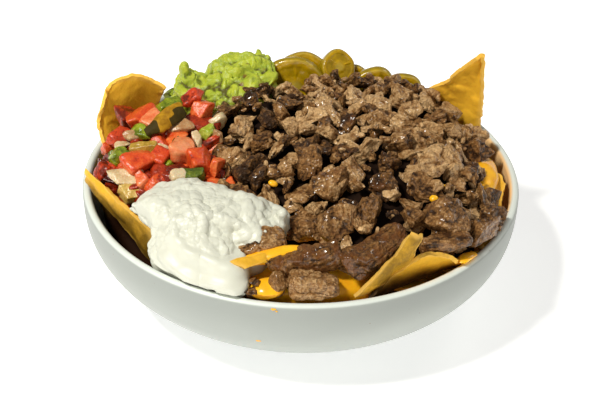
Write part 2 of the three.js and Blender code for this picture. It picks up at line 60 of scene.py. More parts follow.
MM = 0.001
RIM_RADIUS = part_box("bowl")[1].x / MM
BOWL_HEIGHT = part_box("bowl")[1].z / MM
FOOT_RADIUS = 50.0
FOOT_WIDTH = 6.0
FOOT_RECESS = 1.8
WALL = 4.4
FLOOR = 6.0
INNER_FLOOR_RADIUS = 44.0
# The two powers of the wall's curve.
WALL_RISE = 2.86
WALL_ROUND = 1.15
# The level inside the bowl down to which the heaps and the sauce reach.
SOLE = 44.0
# The turn from one piece to the next that spreads pieces evenly over a heap.
GOLDEN_ANGLE = math.pi * (3 - math.sqrt(5))

# Each heap is an outline about its centre, given every 30 degrees from +X towards +Y, with the
# height of its edge in the same directions, the height of its crown and, where it isn't 3 all
# round, the power with which it falls off.
BEEF = {
    "centre": (30, 0),
    "outline": (57, 66, 70, 68, 65, 84, 71, 78, 72, 84, 80, 74),
    "edge": (58, 65, 71, 74, 76, 76, 71, 68, 62, 60, 60, 57),
    "crown": 85,
}
CREAM = {
    "centre": (-44, -72),
    "outline": (37, 41, 32, 34, 40, 43, 24, 23, 21, 23, 34, 26),
    "edge": (68, 71, 73, 75, 74, 68, 62, 60.5, 60.5, 60.5, 61, 62),
    "crown": 82,
    "fall": (2.2, 3, 3, 3, 3, 3, 3, 2.4, 2.0, 1.6, 0.9, 1.1),
}
GUACAMOLE = {
    "centre": (-42, 60),
    "outline": (28, 28, 28, 29, 26, 27, 30, 28, 24, 27, 27, 26),
    "edge": (81, 82, 72, 60, 58, 64, 68, 70, 72, 73, 75, 78),
    "crown": 83.5,
}
SALSA = {
    "centre": (-70, -8),
    "outline": (29, 32, 43, 30, 32, 34, 29, 28, 34, 30, 43, 44),
    "edge": (70, 72, 74, 72, 64, 58, 57, 58, 62, 66, 68, 68),
    "crown": 77,
}
# About the mean reach of the beef's outline, where its large pieces keep their drawn lengths, and
# how many of those there are.
BEEF_MEAN_REACH = 74
LARGE_CHUNKS = 71
# The shortest and the longest of the large pieces of beef, of the smaller ones and of the crumbs.
LARGE_BEEF_LENGTHS = (12, 20)
SMALL_BEEF_LENGTHS = (6.5, 13.5)
CRUMB_LENGTHS = (2.5, 6.0)
# Where the seeds of the smaller pieces and of the crumbs start.
SMALL_BEEF_SEEDS = 500
CRUMB_SEEDS = 2000

# Pieces of beef that stand out of the heap: middle, size, turn in degrees and seed.
LARGE_BEEF = (
    ((66, -71, 68.5), (23, 12, 9), (0, 6, 8), 58),
    ((66, -62, 75), (20, 16, 13), (10, 0, 20), 61),
    ((93, -41, 62), (16, 11, 10), (0, 10, 60), 72),
    ((83, -56, 65), (21, 11, 12), (8, 0, 50), 83),
    ((61, -33, 83), (18, 15, 14), (0, 0, 10), 94),
    ((88, 12, 67), (20, 13, 11), (0, 16, 10), 95),
)
# How pale each of them is, and the place in the list of the one that is mostly fat. Those before it
# are moist.
LARGE_BEEF_TONES = (0.24, 0.30, 0.18, 0.2, 0.78, 0.15)
FAT_PIECE = 4

# Beef that lies on the sauce by itself, one node each: middle, size, turn in degrees and seed.
LOOSE_BEEF = {
    "beef_front_cube": ((6.3, -96.5, 62), (23, 13.5, 12), (-6, 0, 2), 3),
    "beef_front_small": ((-9.5, -96.5, 62), (8.5, 8.5, 11.5), (0, 20, 30), 14),
    "beef_strip_left": ((1.5, -85.5, 69), (34, 12, 11), (0, -9, 8), 25),
    "beef_strip_right": ((34, -82, 70.5), (34, 14, 12), (0, -14, 36), 36),
    "beef_wedge": ((-17.5, -76, 70.5), (22, 15, 9), (14, 0, 12), 47),
}

# How each of them differs from its solid and from the others: growth, power of its form, curl,
# knobs, taper, stringiness, paleness and moisture.
LOOSE_BEEF_FORMS = {
    "beef_front_cube": (1.03, 3.8, 0.0, 0.45, 0.0, 0.4, 0.43, 0.1),
    "beef_front_small": (0.9, 4.0, 0.1, 0.45, 0.0, 0.4, 0.3, 0.1),
    "beef_strip_left": (1.03, 4.0, 0.1, 0.45, 0.3, 0.4, 0.06, 1.0),
    "beef_strip_right": (1.03, 4.0, 0.1, 0.45, 0.0, 0.4, 0.06, 1.0),
    "beef_wedge": (1.03, 3.8, 0.0, 0.0, 0.0, 1.0, 0.4, 0.1),
}

# Crumbs of beef beside the cream at the lip: middle, size, turn in degrees and seed.
LIP_CRUMBS = (
    ((-18.8, -96.5, 62), (6, 4.5, 4), (0, 20, 60), 901),
    ((-20.2, -100.0, 59.7), (7, 5, 4), (10, 0, 30), 902),
    ((-23.5, -100.6, 58.8), (5, 3, 3), (0, 10, -20), 903),
)

# Tortilla chips: four corners, how far each edge bulges, how far the sheet bows, its ripples.
CHIPS = {
    "chip_back_left": (
        ((-98.5, 15, 56), (-76, 44, 54), (-70, 34, 85), (-98, 27, 84)), (0, 2, 9, 1), -8, 1.2
    ),
    "chip_back_right": (
        ((48, 64, 58), (92, 42, 46), (88, 25, 112), (85.5, 25.5, 111)), (0, 0, 0, -3), -5, 0.5
    ),
    "chip_left": (
        ((-103.5, -16, 60), (-64, -66, 45), (-67, -65, 67), (-105, -12.5, 65.5)), (-1, 0, 0, 0), 1.5, 0.8
    ),
    "chip_front_tall": (
        ((24, -99, 57.5), (46, -80, 58), (54, -86, 83), (49.5, -85, 85)), (0, 0, 0, -3), 2, 0.6
    ),
    "chip_front_low": (
        ((31, -91, 50), (77, -66, 53), (72, -77, 61.5), (54, -84.5, 70.5)), (0, 0, 2, 0), -2, 0.4
    ),
    "chip_front_small": (
        ((-31, -93, 70.3), (-24, -95.3, 68.6), (-3, -82, 66), (-7, -80, 69)), (0, 0, 0, 0), 1, 0.3
    ),
    "chip_right": (
        ((70, -20, 56), (97, -24, 50), (101, -6, 57), (82, 16, 60)), (0, 0, 3, 0), 2, 0.4
    ),
}
CHIP_THICKNESS = 1.9
CHIP_ROWS = 72
# How many chips lie loose at the bottom, the rows of each one's grid, and the ranges of their
# azimuth in degrees, of their distance from the middle and of half their width.
LOOSE_CHIPS = 16
LOOSE_CHIP_ROWS = 22
LOOSE_CHIP_AZIMUTHS = (-75, 170)
LOOSE_CHIP_DISTANCES = (72, 86)
LOOSE_CHIP_REACHES = (12, 17)
# How brown a chip is all over, which also paints in how much light each chip gets; how far painted
# shade browns it towards its first edge, how that side's border slants, and how far painted shade
# turns that side near-black.
CHIP_TONES = {
    "chip_back_left": (-2.6, 0, 0, 0),
    "chip_back_right": (-2.3, 0, 0, 0),
    "chip_left": (-0.4, 2.6, -0.7, 0.25),
    "chip_front_tall": (2.0, 0, 0, 0),
    "chip_front_low": (-0.6, 4.0, 0.15, 0.95),
    "chip_right": (-0.5, 0, 0, 0),
}

# Pickled pepper slices: middle, radius as a share of the full one, thickness and lean.
SLICES = {
    "jalapeno_1": ((0, 81, 66.8), 0.94, 6, (64, 6)),
    "jalapeno_2": ((-4.5, 71, 67), 1.08, 6, (76, -4)),
    "jalapeno_3": ((18, 79, 74.5), 0.62, 8, (52, 24)),
    "jalapeno_4": ((28, 81, 64), 0.64, 6, (70, 0)),
    "jalapeno_5": ((38, 73, 65), 0.82, 6.5, (80, 6)),
    "jalapeno_6": ((53, 74, 62.5), 0.74, 6, (76, 10)),
}
SLICE_RADIUS = 15
SEEDS_IN_A_SLICE = 6

# Sauce that shows by itself: middle, size and turn in degrees.
SAUCE_SPOTS = (
    ((91.5, -3, 60.5), (13, 42, 8), (-6, 14, -6)),
    ((67.4, -39, 77), (4, 4, 3), (0, 0, 20)),
    ((62, -47, 76), (4, 4, 3), (0, 0, 0)),
    ((-13, -41, 78.5), (5, 4, 3), (0, 20, 0)),
    ((-12, -84, 68.5), (30, 9, 6), (0, -9, 10)),
    ((77, -71, 59), (13, 7, 5), (0, 0, 42)),
    ((-14.0, -97.2, 59.6), (15, 12, 6), (10, -6, 0)),
)

# Smears of sauce on the outside of the bowl: azimuth in degrees, height, width and tallness.
SMEARS = ((-95.8, 56.2, 2.2, 1.0), (-95.0, 55.2, 1.0, 0.7), (-99.5, 35.0, 2.6, 0.8))

# The cheese sauce: a crescent along the wall with the height of its crest on the way.
SAUCE = {
    "from": -119,
    "to": 12,
    "inner": 56,
    "outer": (96, 99, 101, 100.5, 97, 86, 88, 97, 99, 97, 96, 90),
    "crest": (52, 58, 62, 62, 59, 52, 56, 59, 60, 60, 60, 56),
}

# The chips at the bottom: their level and its hills and hollows, as place, size and rise.
BED_HEIGHT = 46
BED_HILLS = (
    ((22, 82), (50, 26), 11),
    ((5, -85), (36, 30), 5),
    ((-84, -50), (22, 30), -26),
    ((56, -84), (24, 14), -10),
    ((-78, 40), (18, 30), 10),
    ((104, 20), (16, 40), -16),
)

# The guacamole's spikes and hollows and the cream's one peak: place, size and rise.
GUACAMOLE_HILLS = (
    ((-62, 58), (2.8, 7), 7.5),
    ((-22, 71), (9, 8), 3.5),
    ((-53, 62), (6, 16), -8),
    ((-74, 58), (8, 16), -8),
)
CREAM_PEAK = ((-7.5, -64), (3.0, 3.0), 9)

# The salsa's drawn pieces: how many there are, the shortest and the longest, where their seeds
# start, and from which chance on each kind is taken.
SALSA_PIECES = 96
SALSA_LENGTHS = (7.5, 12.5)
SALSA_SEEDS = 60
# The shaded tomato is painted shade: a darker copy of the tomato for pieces that lie low in the heap.
SALSA_CHANCES = (
    (0.0, "tomato"),
    (0.42, "dark_tomato"),
    (0.88, "onion"),
    (0.92, "green"),
    (0.97, "dark_green"),
)

# The salsa's pieces that lie on top: kind, middle, size and turn in degrees.
SALSA_TOP = (
    ("tomato", (-86, 20, 76), (14, 12, 9), (10, 10, 30)),
    ("tomato", (-79, 14, 80), (16, 12, 9), (0, -12, 15)),
    ("pale_tomato", (-73, 9, 80.5), (15, 12, 8), (15, 10, -20)),
    ("tomato", (-54.6, 24.5, 85), (8, 8, 9), (10, 30, 20)),
    ("tomato", (-50.8, 19, 82), (10, 9, 10), (0, 10, 50)),
    ("dark_tomato", (-50, 10, 77), (18, 10, 8), (10, 0, -15)),
    ("onion", (-59.5, 5, 81), (13, 7, 4), (24, 0, 10)),
    ("pale_tomato", (-57, -11, 77), (21, 11, 10), (0, 20, 82)),
    ("tomato", (-48.3, -20, 75.5), (12, 12, 11), (14, 8, 24)),
    ("tomato", (-41.5, -22, 74), (9, 5, 9), (0, 20, 60)),
    ("onion", (-50.8, -4.5, 78.5), (10, 4, 3.4), (10, 34, -58)),
    ("onion", (-42.5, 12, 80), (9, 5, 9), (20, 24, 40)),
    ("onion", (-41, 0, 78), (6, 4, 5), (0, 30, 10)),
    ("green", (-46, 4.5, 78), (8, 6, 8), (30, 0, 50)),
    ("green", (-89.7, -12.5, 72.5), (8, 8, 10), (10, 20, 20)),
    ("tomato", (-78, -21, 76), (16, 12, 10), (20, -8, 40)),
    ("pale_tomato", (-76.6, -30.5, 72.5), (11, 7, 6), (30, 10, -50)),
    ("tomato", (-68, -19, 76.5), (9, 8, 8), (10, -20, 60)),
    ("onion", (-84.5, -29, 72.5), (19, 9, 4), (26, -6, 0)),
    ("ochre", (-81.5, -36, 67.5), (10, 8, 7), (20, 0, 20)),
    ("tomato", (-95, -13.5, 65), (9, 8, 8), (0, 20, 30)),
    ("tomato", (-89.5, -0.5, 75), (11, 9, 8), (10, 0, 60)),
    ("onion", (-84, -1, 77.5), (8, 6, 5), (16, 10, 24)),
    ("onion", (-87, -6.5, 76), (8, 4, 4), (10, -10, 12)),
    ("green", (-78.6, 1, 78.5), (12, 7, 7), (20, 10, -10)),
    ("ochre", (-76.4, -11.5, 77.5), (13, 6, 6), (16, -6, -10)),
    ("tomato", (-95.4, 1, 68.5), (7, 6, 9), (0, 14, 20)),
    ("dark_green", (-51.4, -31, 76), (12, 6, 4), (24, 0, 8)),
    ("onion", (-57.8, -33, 76), (8, 6, 5), (24, 10, 30)),
    ("tomato", (-45, -3, 77), (13, 3.4, 3), (10, -18, 32)),
    ("green", (-67, 20, 83), (12, 7, 6), (10, 0, 30)),
    ("dark_green", (-60, -3, 77), (9, 5, 5), (10, 0, 60)),
    ("tomato", (-61, 0, 76), (10, 8, 7), (0, 0, 30)),
    ("dark_tomato", (-66, -28, 73), (12, 9, 7), (20, 0, 0)),
    ("dark_tomato", (-58, -26, 73), (12, 8, 7), (10, 10, 40)),
    ("tomato", (-69, -33, 71), (10, 8, 7), (30, 0, 20)),
)

# The bent strip of roasted pepper on the salsa: its way, half its width and depth, its lean.
STRIP_WAY = ((-76.5, -2, 80.5), (-70, 1, 84), (-64, 6, 86.5), (-58.5, 12, 86.5))
STRIP_WIDTH = 4.2
STRIP_DEPTH = 1.1
STRIP_LEAN = 40.0

# The free room that pieces keep from the tall chip at the back right, from the wall, and, for the
# cores under the heaps, from the wall.
CHIP_ROOM = 1.8
WALL_ROOM = 1.2
CORE_ROOM = 3

# Where the eye stands: what it turns round and its distance in millimetres, its height above the
# horizon, tilt and roll in degrees, and its lens.
TARGET = (0.0, 0.0, 29.0)
VIEW_DISTANCE = 756.0
VIEW_ELEVATION = 34.9
VIEW_TILT = 0.80
VIEW_ROLL = 1.27
LENS = 89.1

# Lamps: name, place and width in metres, and power in watts.
LAMPS = (
    ("key_left", (-0.54, -0.42, 1.10), 0.2, 15.5),
    ("fill_front", (0.1, -1.2, 0.2), 0.9, 3.4),
    ("rim_right", (0.8, 0.7, 0.9), 0.5, 2.6),
    ("low_right", (0.95, -0.55, 0.14), 0.5, 0.9),
)
LAMP_COLOUR = (1.0, 0.975, 0.91)
SKY_COLOUR = (1.0, 0.985, 0.94, 1.0)
SKY_STRENGTH = 0.2
# Half the side of the floor, in metres.
FLOOR_REACH = 6.0


# ---------------------------------------------------------------- settings


def length(name, text, default):
    """A length that the user can change, in metres."""
    return FloatProperty(name=name, description=text, default=default, min=0.0, unit="LENGTH")


def colour(name, text, default):
    """A colour that the user can change."""
    return FloatVectorProperty(
        name=name, description=text, default=default, size=3, subtype="COLOR", min=0.0, max=1.0
    )


def number_of(name, text, default):
    """A number of pieces that the user can change."""
    return IntProperty(name=name, description=text, default=default, min=1)


class NachosBowlSettings(bpy.types.PropertyGroup):
    """Size and colours of the bowl."""

    rim_radius: length("Rim radius", "Outer radius of the bowl at its lip", RIM_RADIUS * MM)
    height: length("Height", "Height of the bowl's lip above the table", BOWL_HEIGHT * MM)
    glaze: colour("Glaze", "Colour of the bowl's matte glaze", (0.385, 0.412, 0.385))
    speckle: colour("Speckle", "Colour of the iron specks in the glaze", (0.22, 0.14, 0.07))


class NachosBeefSettings(bpy.types.PropertyGroup):
    """Numbers, relief and colours of the beef."""

    between: number_of("Smaller pieces", "Pieces of beef that fill in between the large ones", 170)
    crumbs: number_of("Crumbs", "Loose crumbs of beef on the heap", 110)
    crease: length("Crease depth", "How deep the creases between lumps of meat are", 0.75 * MM)
    fibre: length("Fibre relief", "How far the fibres of the meat stand out", 0.55 * MM)
    # In the creases this colour is painted shade; on seared sides it is the meat's own.
    dark: colour("Dark meat", "Colour in the creases and on seared sides", (0.034, 0.012, 0.003))
    brown: colour("Brown meat", "Colour of the cooked meat", (0.285, 0.130, 0.036))
    pale: colour("Pale meat", "Colour of the palest meat and fat", (0.82, 0.53, 0.25))


class NachosToppingSettings(bpy.types.PropertyGroup):
    """Numbers, sizes and colours of all the other food."""

    chip_thickness: length("Chip thickness", "Thickness of a tortilla chip", CHIP_THICKNESS * MM)
    dice: number_of("Salsa pieces", "Cut pieces under the ones placed on top", SALSA_PIECES)
    cream: colour("Cream", "Colour of the sour cream", (0.645, 0.65, 0.55))
    guacamole: colour("Guacamole", "Colour of the mashed avocado", (0.33, 0.42, 0.030))
    sauce: colour("Cheese sauce", "Colour of the cheese sauce", (1.0, 0.50, 0.012))
    chip: colour("Chip", "Colour of the fried tortilla", (0.78, 0.42, 0.026))
    tomato: colour("Tomato", "Colour of the cut tomato", (0.55, 0.045, 0.008))
    pickle: colour("Pickled pepper", "Colour of the pickled pepper slices", (0.42, 0.250, 0.002))


# ---------------------------------------------------------------- numbers and noise


def lerp(low, high, share):
    """From low at a share of 0 to high at 1, in a straight line."""
    return low + (high - low) * share


def smooth(low, high, value):
    """0 below low, 1 above high and an even S between."""
    share = np.clip((value - low) / (high - low), 0, 1)
    return share * share * (3 - 2 * share)


def draw(index, salt):
    """A number from 0 to 1 that depends only on a piece's index and on what it is drawn for: the
    fraction of a large sine."""
    value = np.sin(np.asarray(index) * 12.9898 + salt * 78.233) * 43758.5453
    return value - np.floor(value)


def lattice(cells, salt):
    """A number from -1 to 1 for each whole-numbered point, from its three numbers mixed as words of
    32 bits."""
    x, y, z = (cells[..., axis] for axis in range(3))
    word = (x * 374761393 + y * 668265263 + z * 1440662683 + salt * 974634777) & 0xFFFFFFFF
    word = ((word ^ (word >> 13)) * 1274126177) & 0xFFFFFFFF
    word = word ^ (word >> 16)
    return word / 2147483647.5 - 1.0


def noise(points, salt):
    """Smooth noise: random numbers at whole-numbered points, blended by a fifth-power S in each axis."""
    cell = np.floor(points)
    share = points - cell
    share = share**3 * (share * (share * 6 - 15) + 10)
    cell = cell.astype(np.int64)
    total = np.zeros(points.shape[:-1])
    for corner in range(8):
        step = np.array([(corner >> axis) & 1 for axis in range(3)])
        weight = np.prod(np.where(step == 1, share, 1 - share), axis=-1)
        total += weight * lattice(cell + step, salt)
    return total


def fractal(points, octaves, salt):
    """Noise added to itself at twice the fineness and half the height, octave by octave."""
    total, height = 0, 1.0
    for octave in range(octaves):
        total = total + height * noise(points, salt + octave)
        points = points[..., (1, 2, 0)] * 2.03 + 17.7
        height *= 0.5
    return total


def creases(points, salt):
    """Narrow lines where smooth noise passes through zero: one minus its size, to a high power."""
    return (1 - np.abs(noise(points, salt))) ** 10.5


def pebbles(points, salt):
    """Round lumps: each whole-numbered cell holds one random spot, and the height over the nearest spot
    at distance d is the root of 1.1 - d^2."""
    cell = np.floor(points).astype(np.int64)
    nearest = np.full(points.shape[:-1], 9.0)
    for corner in np.ndindex(3, 3, 3):
        around = cell + np.array(corner) - 1
        spot = around + 0.5 + 0.42 * np.stack([lattice(around, salt + axis) for axis in range(3)], -1)
        nearest = np.minimum(nearest, ((points - spot) ** 2).sum(-1))
    return np.sqrt(np.clip(1.1 - nearest, 0, None))


def around_circle(values, angle):
    """A list given at equal steps round a circle, read at any angle with a cosine blend."""
    values = np.asarray(values, float)
    place = (angle / (2 * np.pi) % 1) * len(values)
    step = np.floor(place).astype(int)
    share = (1 - np.cos((place - step) * np.pi)) / 2
    return lerp(values[step % len(values)], values[(step + 1) % len(values)], share)


def along_list(values, share):
    """A list given at equal steps along a way, read at any share of it."""
    return np.interp(share, np.linspace(0, 1, len(values)), values)


def bell(x, y, hill):
    """A round hill: its rise times e to the power of minus the squared distances from its middle,
    each as a share of its size."""
    (cx, cy), (sx, sy), rise = hill
    return rise * np.exp(-(((x - cx) / sx) ** 2) - ((y - cy) / sy) ** 2)


def warped(points, size, salt):
    """Three slow noises, one for each axis, that bend a pattern out of line."""
    return np.stack([noise(points / size, salt + axis) for axis in range(3)], -1)


def turned(degrees, order="xyz"):
    """Rotation matrices, one for each row of degrees; the last letter's turn comes first."""
    angles = np.radians(np.atleast_2d(degrees))
    whole = np.broadcast_to(np.eye(3), (len(angles), 3, 3))
    for letter in order:
        axis = "xyz".index(letter)
        a, b = (axis + 1) % 3, (axis + 2) % 3
        c, s = np.cos(angles[:, axis]), np.sin(angles[:, axis])
        one = np.zeros((len(angles), 3, 3))
        one[:, axis, axis] = 1
        one[:, a, a], one[:, b, b], one[:, a, b], one[:, b, a] = c, c, -s, s
        whole = whole @ one
    return whole


# ---------------------------------------------------------------- the wall and the heaps


def wall_radius(z, foot, reach, low):
    """The wall's curve: from the foot radius out to reach, as 1 - (1 - rise)^a, to the power 1/b."""
    rise = np.clip((z - low) / (BOWL_HEIGHT - WALL / 2 - low), 0, 1)
    return foot + (reach - foot) * (1 - (1 - rise) ** WALL_RISE) ** (1 / WALL_ROUND)


def inner_radius(z):
    """The wall's inside at a height."""
    return wall_radius(z, INNER_FLOOR_RADIUS, RIM_RADIUS - WALL, FLOOR)


def outer_radius(z):
    """The wall's outside at a height."""
    return wall_radius(z, FOOT_RADIUS, RIM_RADIUS, 0)


def inside_wall(points, clearance):
    """Points pulled in from the wall, or above the lip from the lip's outer edge, by a clearance that
    is the same for all or each point's own."""
    reach = np.maximum(np.hypot(points[..., 0], points[..., 1]), 1e-6)
    low = points[..., 2] < BOWL_HEIGHT + 2
    wall = np.where(low, inner_radius(np.minimum(points[..., 2], BOWL_HEIGHT)), RIM_RADIUS)
    share = np.minimum(1, (wall - clearance) / reach)
    return points * np.stack([share, share, np.ones_like(share)], -1)


def heap_top(heap, share, angle):
    """The height of a heap's top: from its edge up to its crown as (1 - share^fall)^0.8."""
    edge = around_circle(heap["edge"], angle)
    fall = around_circle(heap.get("fall", (3,)), angle)
    return edge + (heap["crown"] - edge) * (1 - np.minimum(share, 1) ** fall) ** 0.8


def behind_left_chip(points, clearance):
    """Points pulled back behind the upright plane through the foot of the left-hand chip, as far as
    the chip reaches."""
    start, end = CHIPS["chip_left"][0][:2]
    along = np.array(end[:2], float) - np.array(start[:2], float)
    along /= np.linalg.norm(along)
    outward = np.array([along[1], -along[0]])
    beyond = (points[..., :2] - np.array(start[:2])) @ outward + clearance
    beyond = np.maximum(beyond, 0) * smooth(end[1] - 5, end[1] + 1, points[..., 1])
    moved = points.copy()
    moved[..., :2] -= beyond[..., None] * outward
    return moved


def off_tall_chip(points):
    """Points pulled back to the inner side of the tall three-cornered chip at the back right, which
    bows away from them."""
    (a, b, _, d), _, bow, _ = CHIPS["chip_back_right"]
    base, rise = np.subtract(b, a).astype(float), np.subtract(d, a).astype(float)
    outward = np.cross(rise, base)
    outward /= np.linalg.norm(outward)
    across, up = np.cross(rise, outward), np.cross(outward, base)
    place = points - np.array(a, float)
    u, v = place @ across / (base @ across), place @ up / (rise @ up)
    arches = arch(np.clip(u, 0, 1)) + arch(np.clip(v, 0, 1))
    beyond = np.maximum(place @ outward + CHIP_ROOM + bow * arches / 2, 0)
    beyond = beyond * smooth(-0.06, 0.03, u) * smooth(1.06, 0.97, u + v)
    return points - beyond[..., None] * outward


def heap_spots(heap, count, reach, first=0.0):
    """Points spread evenly over a heap by turning through the golden angle, as far as reach of its
    outline, with each one's angle and its share of the way out."""
    index = np.arange(count)
    angle = index * GOLDEN_ANGLE + first
    share = np.sqrt((index + 0.5) / count) * reach
    radius = around_circle(heap["outline"], angle) * share
    x = heap["centre"][0] + radius * np.cos(angle)
    y = heap["centre"][1] + radius * np.sin(angle)
    return np.stack([x, y, heap_top(heap, share, angle)], -1), angle % (2 * np.pi), share


def bed_top(x, y):
    """The top of the chips at the bottom: a level plus its hills."""
    return BED_HEIGHT + sum(bell(x, y, hill) for hill in BED_HILLS)


# ---------------------------------------------------------------- grids and meshes


def ball_grid(cells):
    """A closed ball as six square grids of directions, with the seams merged: points and quads."""
    steps = np.tan(np.linspace(-np.pi / 4, np.pi / 4, cells + 1))
    u, v = np.meshgrid(steps, steps, indexing="ij")
    number = np.arange((cells + 1) ** 2).reshape(cells + 1, cells + 1)
    quad = np.stack([number[:-1, :-1], number[1:, :-1], number[1:, 1:], number[:-1, 1:]], -1)
    quad = quad.reshape(-1, 4)
    points, faces = [], []
    for axis in range(3):
        for side in (1, -1):
            sheet = np.empty(u.shape + (3,))
            sheet[..., axis], sheet[..., (axis + 1) % 3], sheet[..., (axis + 2) % 3] = side, u, v
            faces.append((quad if side > 0 else quad[:, ::-1]) + len(points) * number.size)
            points.append(sheet.reshape(-1, 3))
    points = np.concatenate(points)
    points /= np.linalg.norm(points, axis=1, keepdims=True)
    merged, back = np.unique(np.round(points, 6), axis=0, return_inverse=True)
    return merged, back.ravel()[np.concatenate(faces)]


def sheet_faces(rows, columns, closed=False):
    """Quads over a grid of rows by columns, whose columns may close on themselves."""
    number = np.arange(rows * columns).reshape(rows, columns)
    after = np.roll(number, -1, axis=1)
    if not closed:
        number, after = number[:, :-1], after[:, :-1]
    return np.stack([number[:-1], number[1:], after[1:], after[:-1]], -1).reshape(-1, 4)


def surface_normals(grid):
    """Outward unit normals of a grid whose rows go down and whose columns go round."""
    down = np.gradient(grid, axis=0)
    around = np.roll(grid, -1, axis=1) - np.roll(grid, 1, axis=1)
    normal = np.cross(down, around)
    return normal / np.maximum(np.linalg.norm(normal, axis=-1, keepdims=True), 1e-9)


def capped(grid, values=None):
    """A grid of rings from top to bottom closed by a point at each end: points, faces and values."""
    rows, columns = grid.shape[:2]
    points = np.concatenate([grid.reshape(-1, 3), grid[0].mean(0)[None], grid[-1].mean(0)[None]])
    quads = sheet_faces(rows, columns, closed=True)
    ring = np.arange(columns)
    after = np.roll(ring, -1)
    top = np.stack([np.full(columns, rows * columns), ring, after], -1)
    last = (rows - 1) * columns
    low = np.stack([np.full(columns, rows * columns + 1), last + after, last + ring], -1)
    if values is not None:
        ends = [values[0].mean(0)[None], values[-1].mean(0)[None]]
        values = np.concatenate([values.reshape(-1, values.shape[-1]), *ends])
    return points, [quads, top, low], values


def make_piece(name, points, faces, material, nodes, values=None, strands=None):
    """One object from points in millimetres and face arrays, in place of the nodes. Values become the
    colour attribute look, and strands, places along each piece's own axes, the vector attribute
    strand."""
    faces = faces if isinstance(faces, list) else [faces]
    mesh = bpy.data.meshes.new(name)
    mesh.vertices.add(len(points))
    mesh.vertices.foreach_set("co", (np.asarray(points) * MM).astype(np.float32).ravel())
    corners = np.concatenate([block.ravel() for block in faces])
    sizes = np.concatenate([np.full(len(block), block.shape[1]) for block in faces])
    mesh.loops.add(len(corners))
    mesh.loops.foreach_set("vertex_index", corners.astype(np.int32))
    mesh.polygons.add(len(sizes))
    starts = np.concatenate([[0], np.cumsum(sizes)[:-1]])
    mesh.polygons.foreach_set("loop_start", starts.astype(np.int32))
    mesh.update(calc_edges=True)
    mesh.validate()
    mesh.shade_smooth()
    if values is not None:
        look = np.ones((len(values), 4), np.float32)
        look[:, : values.shape[1]] = values
        mesh.attributes.new("look", "FLOAT_COLOR", "POINT").data.foreach_set("color", look.ravel())
    if strands is not None:
        places = (strands * MM).astype(np.float32).ravel()
        mesh.attributes.new("strand", "FLOAT_VECTOR", "POINT").data.foreach_set("vector", places)
    mesh.materials.append(material)
    piece = bpy.data.objects.new(name, mesh)
    bpy.context.scene.collection.objects.link(piece)
    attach(piece, "root")
    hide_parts(*nodes)
    return piece


def many(points, faces):
    """Faces for a stack of like meshes: points are pieces by vertices by 3."""
    pieces, size = points.shape[:2]
    blocks = faces[None] + (np.arange(pieces) * size)[:, None, None]
    return points.reshape(-1, 3), blocks.reshape(-1, faces.shape[1])


# ---------------------------------------------------------------- materials


class Signal:
    """A number in a material's node tree; arithmetic on it adds Math nodes."""

    def __init__(self, paint, socket):
        self.paint, self.socket = paint, socket

    def math(self, operation, *values):
        """The number that a Math node makes of its values."""
        node = self.paint.node("ShaderNodeMath", {"operation": operation}, dict(enumerate(values)))
        return Signal(self.paint, node.outputs[0])

    def __add__(self, other):
        return self.math("ADD", self, other)

    def __sub__(self, other):
        return self.math("SUBTRACT", self, other)

    def __rsub__(self, other):
        return self.math("SUBTRACT", other, self)

    def __mul__(self, other):
        return self.math("MULTIPLY", self, other)

    __radd__ = __add__
    __rmul__ = __mul__

    def step(self, low, high):
        """0 below low and 1 above high, with an even S between."""
        settings = {"interpolation_type": "SMOOTHSTEP"}
        inputs = {"Value": self, "From Min": low, "From Max": high}
        node = self.paint.node("ShaderNodeMapRange", settings, inputs)
        return Signal(self.paint, node.outputs["Result"])


